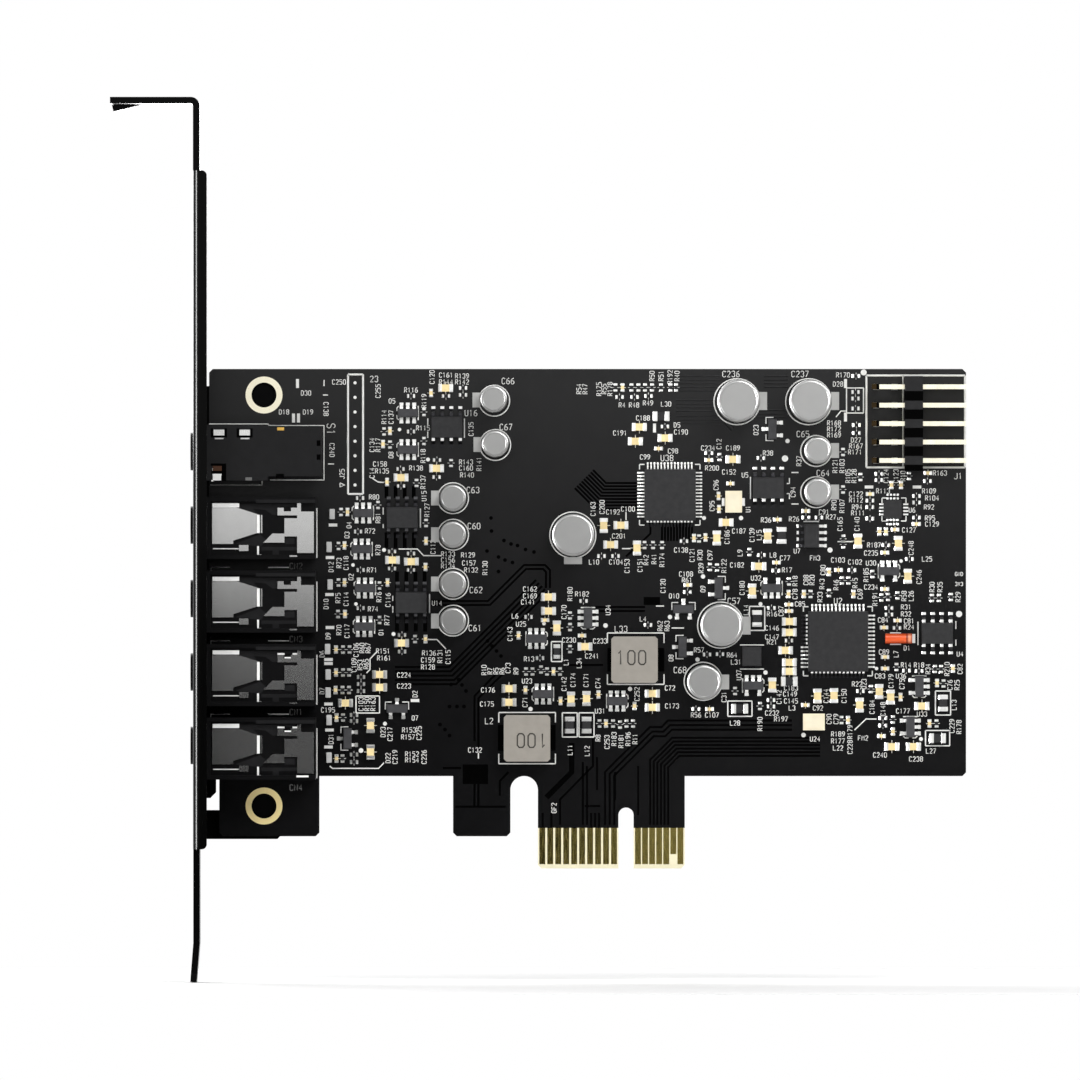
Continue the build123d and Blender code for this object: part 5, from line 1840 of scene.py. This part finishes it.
@dataclass
class MountingRings(SubAssembly):
    """The plated rings round the two holes that take the bracket's screws; the lower one is a paler, dull
    gilt, painted light against its shade.
    """

    upper_px: Place = (264, 395)
    lower_px: Place = (264, 806)
    outer: float = 2.55 * MM
    hole: float = 1.72 * MM
    thickness: float = 0.04 * MM
    sides: int = 40

    def build(self) -> None:
        """Build the rings."""
        rim = [(self.hole, 0.0), (self.outer, 0.0), (self.outer, self.thickness), (self.hole, self.thickness)]
        # The lower ring's paler gilt is painted light.
        for name, place, finish in (
            ("upper_ring", self.upper_px, "ring_plate"), ("lower_ring", self.lower_px, "pale_gilt")
        ):
            form = Form()
            form.turned([*rim, rim[0]], PLANE.point(*place), self.sides)
            self.keep(form, name, finish, "gilt")


@dataclass
class InductorMarks(SubAssembly):
    """The value printed on the two power inductors, one of them the other way up."""

    value: str = "100"
    height_px: float = 13.7
    pen: Pen = Pen(0.2 * MM, "ferrite_mark")
    upright_px: Place = (631.3, 657.5)
    over_px: Place = (531.6, 740.4)

    def build(self) -> None:
        """Print both values."""
        top = PLANE.face_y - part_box("inductor_1")[0].y
        strokes = StrokeFont.strokes(self.value, self.upright_px, self.height_px, Turn.LEVEL)
        strokes += StrokeFont.strokes(self.value, self.over_px, self.height_px, Turn.OVER)
        self.lay("inductor_values", strokes, self.pen, "ferrite", top)


@dataclass
class JackTrim(SubAssembly):
    """White strips of painted highlight on the contact edges of the four open jacks, and their small tabs,
    with rows given from each jack's axis.
    """

    tray_depth: float = 0.9 * MM
    plate_depth: float = 0.4 * MM
    skin: float = 0.04 * MM
    tab_height: float = 0.25 * MM
    first_low_jack: int = 2
    plate_edges_px: tuple[Box, ...] = ((213.3, -21.7, 239.8, -17.6), (257.5, -10, 260.3, 8))
    tray_edges_px: tuple[Box, ...] = read_rows("""
        257.6,21,259.5,31.5 259.5,29.5,261.8,31.5 213.7,23.2,239.6,24.2
    """)
    foot_edge_px: Box = (290, 30.2, 297.5, 31.8)
    last_foot_edge_px: Box = (297, 29.8, 309, 31.6)
    lower_edges_px: tuple[Box, ...] = read_rows("278,-19,285,-17.2 293,-19,298,-17.2 285,-15,293,-13.2")
    tabs_px: tuple[Box, ...] = ((239.6, 20, 249, 26), (261.4, -10, 262.8, 8))
    arms_px: tuple[Path, ...] = read_paths("""
        239.8,-20.9 296,-20.9 296,-18.3 278.1,-18.3 278.1,-10 273,-10 266,-15 254,-16 259,-10 239.8,-15.1 /
        236,18.7 260.3,9.3 266.6,14.8 261.5,21.5 239.8,19.5 / 261.8,21.9 297,21.9 297,25.5 261.8,25.5 /
        273,25.5 279.4,25.5 279.4,31 273,31 / 285,13 295,13 295,19 285,19
    """)
    ledge_px: Path = ((256.4, -25.4), (316, -25.4), (316, -22), (256.4, -22))

    def build(self) -> None:
        """Lay the edges and the tabs on every jack."""
        top = PLANE.face_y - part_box("audio_jack_housing_1")[0].y
        tray = top - self.tray_depth
        edges, tabs, arms = Form(), Form(), Form()
        for i, axis in enumerate(JACK_AXES_PX):
            last = axis == JACK_AXES_PX[-1]
            foot = (edges, (self.last_foot_edge_px,)) if last else (tabs, (self.foot_edge_px,))
            groups = [(edges, self.plate_edges_px, top - self.plate_depth, self.skin),
                      (edges, self.tray_edges_px, tray, self.skin), (*foot, top, self.skin),
                      (tabs, self.tabs_px, tray, self.tab_height)]
            if i >= self.first_low_jack:
                groups.append((edges, self.lower_edges_px, tray, self.tab_height))
            for form, boxes, base, height in groups:
                for left, above, right, below in boxes:
                    form.slab((left, axis + above, right, axis + below), base, height)
            for outline, base in [*((arm, tray) for arm in self.arms_px), (self.ledge_px, top)]:
                arms.plate(from_axis(outline, axis), base, self.skin)
        self.keep(arms, "jack_arms", "jack_shade", "jack_plastic")
        # White strips on the contact edges: painted highlights.
        self.keep(edges, "jack_edges", "bright_edge", "jack_contact")
        self.keep(tabs, "jack_tabs", "spring_metal", "jack_contact")


@dataclass
class HeadphoneTrim(SubAssembly):
    """What shows in the headphone jack's lid: framed clips, a coppery spring, a gilt stud and notches; the
    black frames and notches are painted shade, the white clip ends painted highlights.
    """

    skin: float = 0.04 * MM
    bevel: float = skin / 3
    frames_px: tuple[Box, ...] = read_rows("""
        211.6,428.6,214.2,437.6 225,428.6,227.6,437.6 237.4,428.6,240,437.6 250.6,428.6,253.2,437.6
        214.2,435.6,225,437.6 240,435.6,250.6,437.6 211.6,463.6,226.8,466 222.4,466,226.8,481
        212,471,222.4,474 317.2,440.6,321,446 317.2,454.6,321,460 276.5,474,284.5,478
    """)
    bright_px: tuple[Box, ...] = ((213.4, 474, 221.8, 480.6), (212, 480, 214, 481.6))
    pale_px: tuple[Box, ...] = ((215.4, 438, 224.2, 439.4), (241.2, 438, 250, 439.4))
    shaded_px: tuple[Box, ...] = ((246, 477.4, 252.5, 480.6),)
    copper_px: tuple[Box, ...] = ((213.4, 466, 222.4, 471),)
    stud_px: Box = (277.6, 427.6, 284.6, 430.6)

    def build(self) -> None:
        """Lay the trim on the lid."""
        lid = PLANE.face_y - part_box("headphone_jack_housing")[0].y
        # Black notches and frames are painted shade; the white clip ends are painted highlights.
        for name, boxes, finish, slot in (
            ("headphone_notches", self.frames_px, "bare_gap", "jack_plastic"),
            ("headphone_clip_ends", self.bright_px, "bright_edge", "tinned_metal"),
            ("headphone_clip_lines", self.pale_px, "pale_block", "tinned_metal"),
            ("headphone_foot", self.shaded_px, "faint_ink", "jack_plastic"),
            ("headphone_spring", self.copper_px, "copper", "jack_contact"),
            ("headphone_stud", (self.stud_px,), "bright_gilt", "gilt"),
        ):
            form = Form()
            for box in boxes:
                form.slab(box, lid, self.skin, self.bevel)
            self.keep(form, name, finish, slot)


@dataclass
class HeaderTrim(SubAssembly):
    """The pin header's recesses between its pins and the dark bends at the pins' inner ends: near-black
    sheets of painted shade, with dark brass beside the bends.
    """

    skin: float = 0.03 * MM
    rows: int = 5
    first_row_px: float = 386.8
    row_step_px: float = 18.4
    recess_px: Box = (904.2, 4.4, 922.6, 14)
    bend_px: Box = (876.2, -2.9, 879, 2.9)
    bare_px: Box = (871.4, -2.7, 876.2, 2.7)

    def build(self) -> None:
        """Lay the trim row by row."""
        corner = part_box("pin_header_body")[0]
        body = PLANE.face_y - corner.y
        end_px = PLANE.row(corner.z)
        pin = PLANE.face_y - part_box("pin_header_pins")[0].y
        recesses, bare = Form(), Form()
        for row in range(self.rows):
            middle = self.first_row_px + row * self.row_step_px
            for form, (left, above, right, below), rise in (
                (recesses, self.recess_px, body), (recesses, self.bend_px, pin), (bare, self.bare_px, pin)
            ):
                form.slab((left, middle + above, right, min(middle + below, end_px)), rise, self.skin)
        # Near-black sheets in the recesses and at the bends: painted shade.
        self.keep(recesses, "header_recesses", "bare_gap", "header_plastic")
        self.keep(bare, "header_pin_bends", "dull_brass", "gilt_pin")


@dataclass
class LeadlessPads(SubAssembly):
    """The soldered pads that show round the leadless chip and beside the first oscillator."""

    chip_px: Place = (892.7, 509.3)
    pitch_px: float = 3.4
    count: int = 4
    rows_px: tuple[float, ...] = (-14.6, -10.8, 10.6, 14.8)
    columns_px: tuple[float, ...] = (-10.8, 13.0)
    oscillator_tabs_px: tuple[Place, ...] = ((723.2, 502), (743.5, 502))
    dot: Place = (0.3 * MM, 0.3 * MM)
    bar: Place = (0.72 * MM, 0.24 * MM)
    tab: Place = (0.42 * MM, 1.1 * MM)
    height: float = 0.09 * MM
    bevel: float = 0.04 * MM

    def build(self) -> None:
        """Set the pads, each one domed with solder."""
        px, py = self.chip_px
        steps = [(i - (self.count - 1) / 2) * self.pitch_px for i in range(self.count)]
        dots = [(px + step, py + row) for row in self.rows_px for step in steps]
        bars = [(px + column, py + step) for column in self.columns_px for step in steps]
        for name, pads, (length, width) in (
            ("pad_dots", dots, self.dot),
            ("pad_bars", bars, self.bar),
            ("oscillator_tabs", self.oscillator_tabs_px, self.tab),
        ):
            form = Form()
            form.brick((-length / 2, length / 2), self.height, width / 2, self.bevel)
            self.place(name, [(PLANE.point(*pad), 0.0) for pad in pads], "tinned_metal", (form, "solder"))


@dataclass
class RearSide(SubAssembly):
    """Solder on the board's back, where the legs of the pin header and the jacks come through."""

    pitch: float = 2.54 * MM
    pin: float = 0.64 * MM
    columns: int = 2
    rows: int = 5
    headphone_axis_px: float = 455.0
    jack_legs_px: tuple[Place, ...] = ((228, -15), (228, 15), (262, 0), (302, -15), (302, 15))
    dome: Path = ((0.0, 0.0), (0.95, 0.0), (0.88, -0.16), (0.62, -0.45), (0.42, -0.8), (0.0, -0.86))
    sides: int = 14
    smooth_to: float = 50.0

    def build(self) -> None:
        """Set a dome of solder on every leg."""
        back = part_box("circuit_board")[1].y
        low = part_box("pin_header_pins")[0]
        first_x, first_z = low.x + self.pin / 2, low.z + self.pin / 2
        spots = [Vector((first_x + column * self.pitch, back, first_z + row * self.pitch))
                 for column in range(self.columns) for row in range(self.rows)]
        for axis in (self.headphone_axis_px, *JACK_AXES_PX):
            legs = from_axis(self.jack_legs_px, axis)
            spots += [PLANE.point(*leg, PLANE.face_y - back) for leg in legs]
        form = Form()
        form.turned([(radius * MM, rise * MM) for radius, rise in self.dome], Vector((0, 0, 0)), self.sides)
        places = [(spot, 0.0) for spot in spots]
        soften(self.place("rear_solder", places, "tinned_metal", (form, "solder")), self.smooth_to)


# Studio


class LampReach(Enum):
    """What a lamp's light acts on: everything, gloss alone or colour alone."""

    ALL = "all"
    GLOSS = "gloss"
    COLOUR = "colour"


@dataclass(frozen=True)
class Lamp:
    """A soft light: its place and aim, its width and height in metres, its power in watts and its reach."""

    name: str
    place: Triple
    aim: Triple
    size: Place
    power: float
    reach: LampReach = LampReach.ALL

    def hang(self) -> None:
        """Hang the light, out of the camera's sight."""
        data = bpy.data.lights.new(self.name, "AREA")
        data.shape = "RECTANGLE"
        data.size, data.size_y = self.size
        data.energy = self.power
        lamp = link_object(self.name, data)
        lamp.location = self.place
        lamp.rotation_euler = (Vector(self.aim) - Vector(self.place)).to_track_quat("-Z", "Y").to_euler()
        lamp.visible_camera = False
        lamp.visible_diffuse = self.reach is not LampReach.GLOSS
        lamp.visible_glossy = self.reach is not LampReach.COLOUR


@dataclass
class Studio:
    """White surroundings, a pale floor, soft lights and the camera at the photograph's view."""

    frame_px: float = 1080.0
    lens: float = 1000.0
    sensor: float = 36.0
    sight: float = 50.0
    floor_half: float = 0.12
    floor_drop: float = 0.1 * MM
    floor_thickness: float = 0.04 * MM
    floor_paper: Moulding = Moulding("floor_paper", "FAFAFA", 0.8, 0.1, 2 * MM, 0.0, 0.01)
    fill: float = 0.45
    card_distance: float = 110 * MM
    card_step: float = 2 * MM
    card_thickness: float = 0.5 * MM
    dark_card: Moulding = Moulding("card_black", "040404", 0.9, 0.0, 5 * MM, 0.0)
    paper_card: Moulding = Moulding("card_paper", "F4F4F4", 0.9, 0.0, 5 * MM, 0.0, 0.02)
    dark_card_px: Path = read_rows("-1186,550 234,568 330,580 450,606 565,675 638,815 643,2318 -1186,2318")
    paper_card_px: Path = ((408, 570), (1278, 570), (1278, 2318), (408, 2318))
    lamps: tuple[Lamp, ...] = (
        Lamp("key", (0.12, -0.3, 0.26), (0.0, 0.0, 0.045), (0.16, 0.16), 0.85),
        Lamp("rear", (-0.15, 0.35, 0.2), (0.0, 0.0, 0.045), (0.3, 0.3), 1.6),
        Lamp("left_strip", (-0.498, -0.119, 0.045), (0.0, 0.0, 0.045), (0.08, 0.3), 15.0, LampReach.GLOSS),
        Lamp("right_strip", (0.45, -0.1, 0.25), (0.0, 0.0, 0.045), (0.05, 0.2), 1.5, LampReach.GLOSS),
        Lamp("low_fill", (-0.15, -0.2, 0.03), (-0.05, 0.0, 0.02), (0.06, 0.06), 0.12, LampReach.COLOUR),
    )

    def world(self) -> None:
        """Make surroundings that are white to look at and a plain level of light to the card."""
        world = bpy.data.worlds.new("surroundings")
        bpy.context.scene.world = world
        world.use_nodes = True
        wiring = Wiring(world.node_tree)
        rays = wiring.add("ShaderNodeLightPath").outputs
        shown = rays["Is Camera Ray"]
        for kind in ("Is Glossy Ray", "Is Transmission Ray"):
            either = wiring.add("ShaderNodeMath", {0: shown, 1: rays[kind]}, operation="MAXIMUM")
            shown = either.outputs["Value"]
        strength = wiring.add("ShaderNodeMapRange", {"Value": shown, "To Min": self.fill, "To Max": 1.0})
        background = world.node_tree.nodes["Background"]
        wiring.join((1, 1, 1, 1), background.inputs["Color"])
        wiring.join(strength.outputs["Result"], background.inputs["Strength"])

    def floor(self) -> None:
        """Lay a pale floor just below the bracket's tip."""
        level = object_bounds()[0].z - self.floor_drop
        half = self.floor_half
        form = Form()
        form.block(Vector((-half, -half, level - self.floor_thickness)), Vector((half, half, level)))
        form.done("floor", self.floor_paper.build())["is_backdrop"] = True

    def cards(self) -> None:
        """Hang a black and a paper card low in front, seen by gloss alone, to shade metal and mask."""
        for name, outline, finish, distance in (
            ("dark_card", self.dark_card_px, self.dark_card, self.card_distance),
            ("paper_card", self.paper_card_px, self.paper_card, self.card_distance + self.card_step),
        ):
            form = Form()
            form.plate(outline, distance, self.card_thickness)
            card = form.done(name, finish.build())
            card.visible_camera = False
            card.visible_diffuse = False
            card.visible_shadow = False
            card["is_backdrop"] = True

    def camera(self) -> None:
        """Set the camera square to the board, far off, with the photograph's frame."""
        data = bpy.data.cameras.new("camera")
        data.lens = self.lens
        data.sensor_width = self.sensor
        data.clip_end = self.sight
        camera = link_object("camera", data)
        distance = PLANE.span(self.frame_px) * self.lens / self.sensor
        camera.location = PLANE.point(self.frame_px / 2, self.frame_px / 2, distance)
        camera.rotation_euler = (math.pi / 2, 0, 0)
        bpy.context.scene.camera = camera

    def build(self) -> None:
        """Set up the studio."""
        bpy.context.scene.view_settings.view_transform = "Standard"
        self.world()
        self.floor()
        self.cards()
        for lamp in self.lamps:
            lamp.hang()
        self.camera()


def main() -> None:
    """Dress the frame, build each sub-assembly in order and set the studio."""
    logging.basicConfig(level=logging.INFO, format="%(name)s %(message)s")
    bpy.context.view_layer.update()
    finishes = FinishRack()
    finishes.dress_frame()
    placer = PartPlacer()
    printer = StrokePrinter()
    for sub_assembly in (
        CapacitorCans, ChipLeads, ChipField, Transistors, Printing, Traces, MountingRings, InductorMarks,
        JackTrim, HeadphoneTrim, HeaderTrim, LeadlessPads, RearSide,
    ):
        sub_assembly(finishes, placer, printer).build()
    Studio().build()


if __name__ == "__main__":
    main()
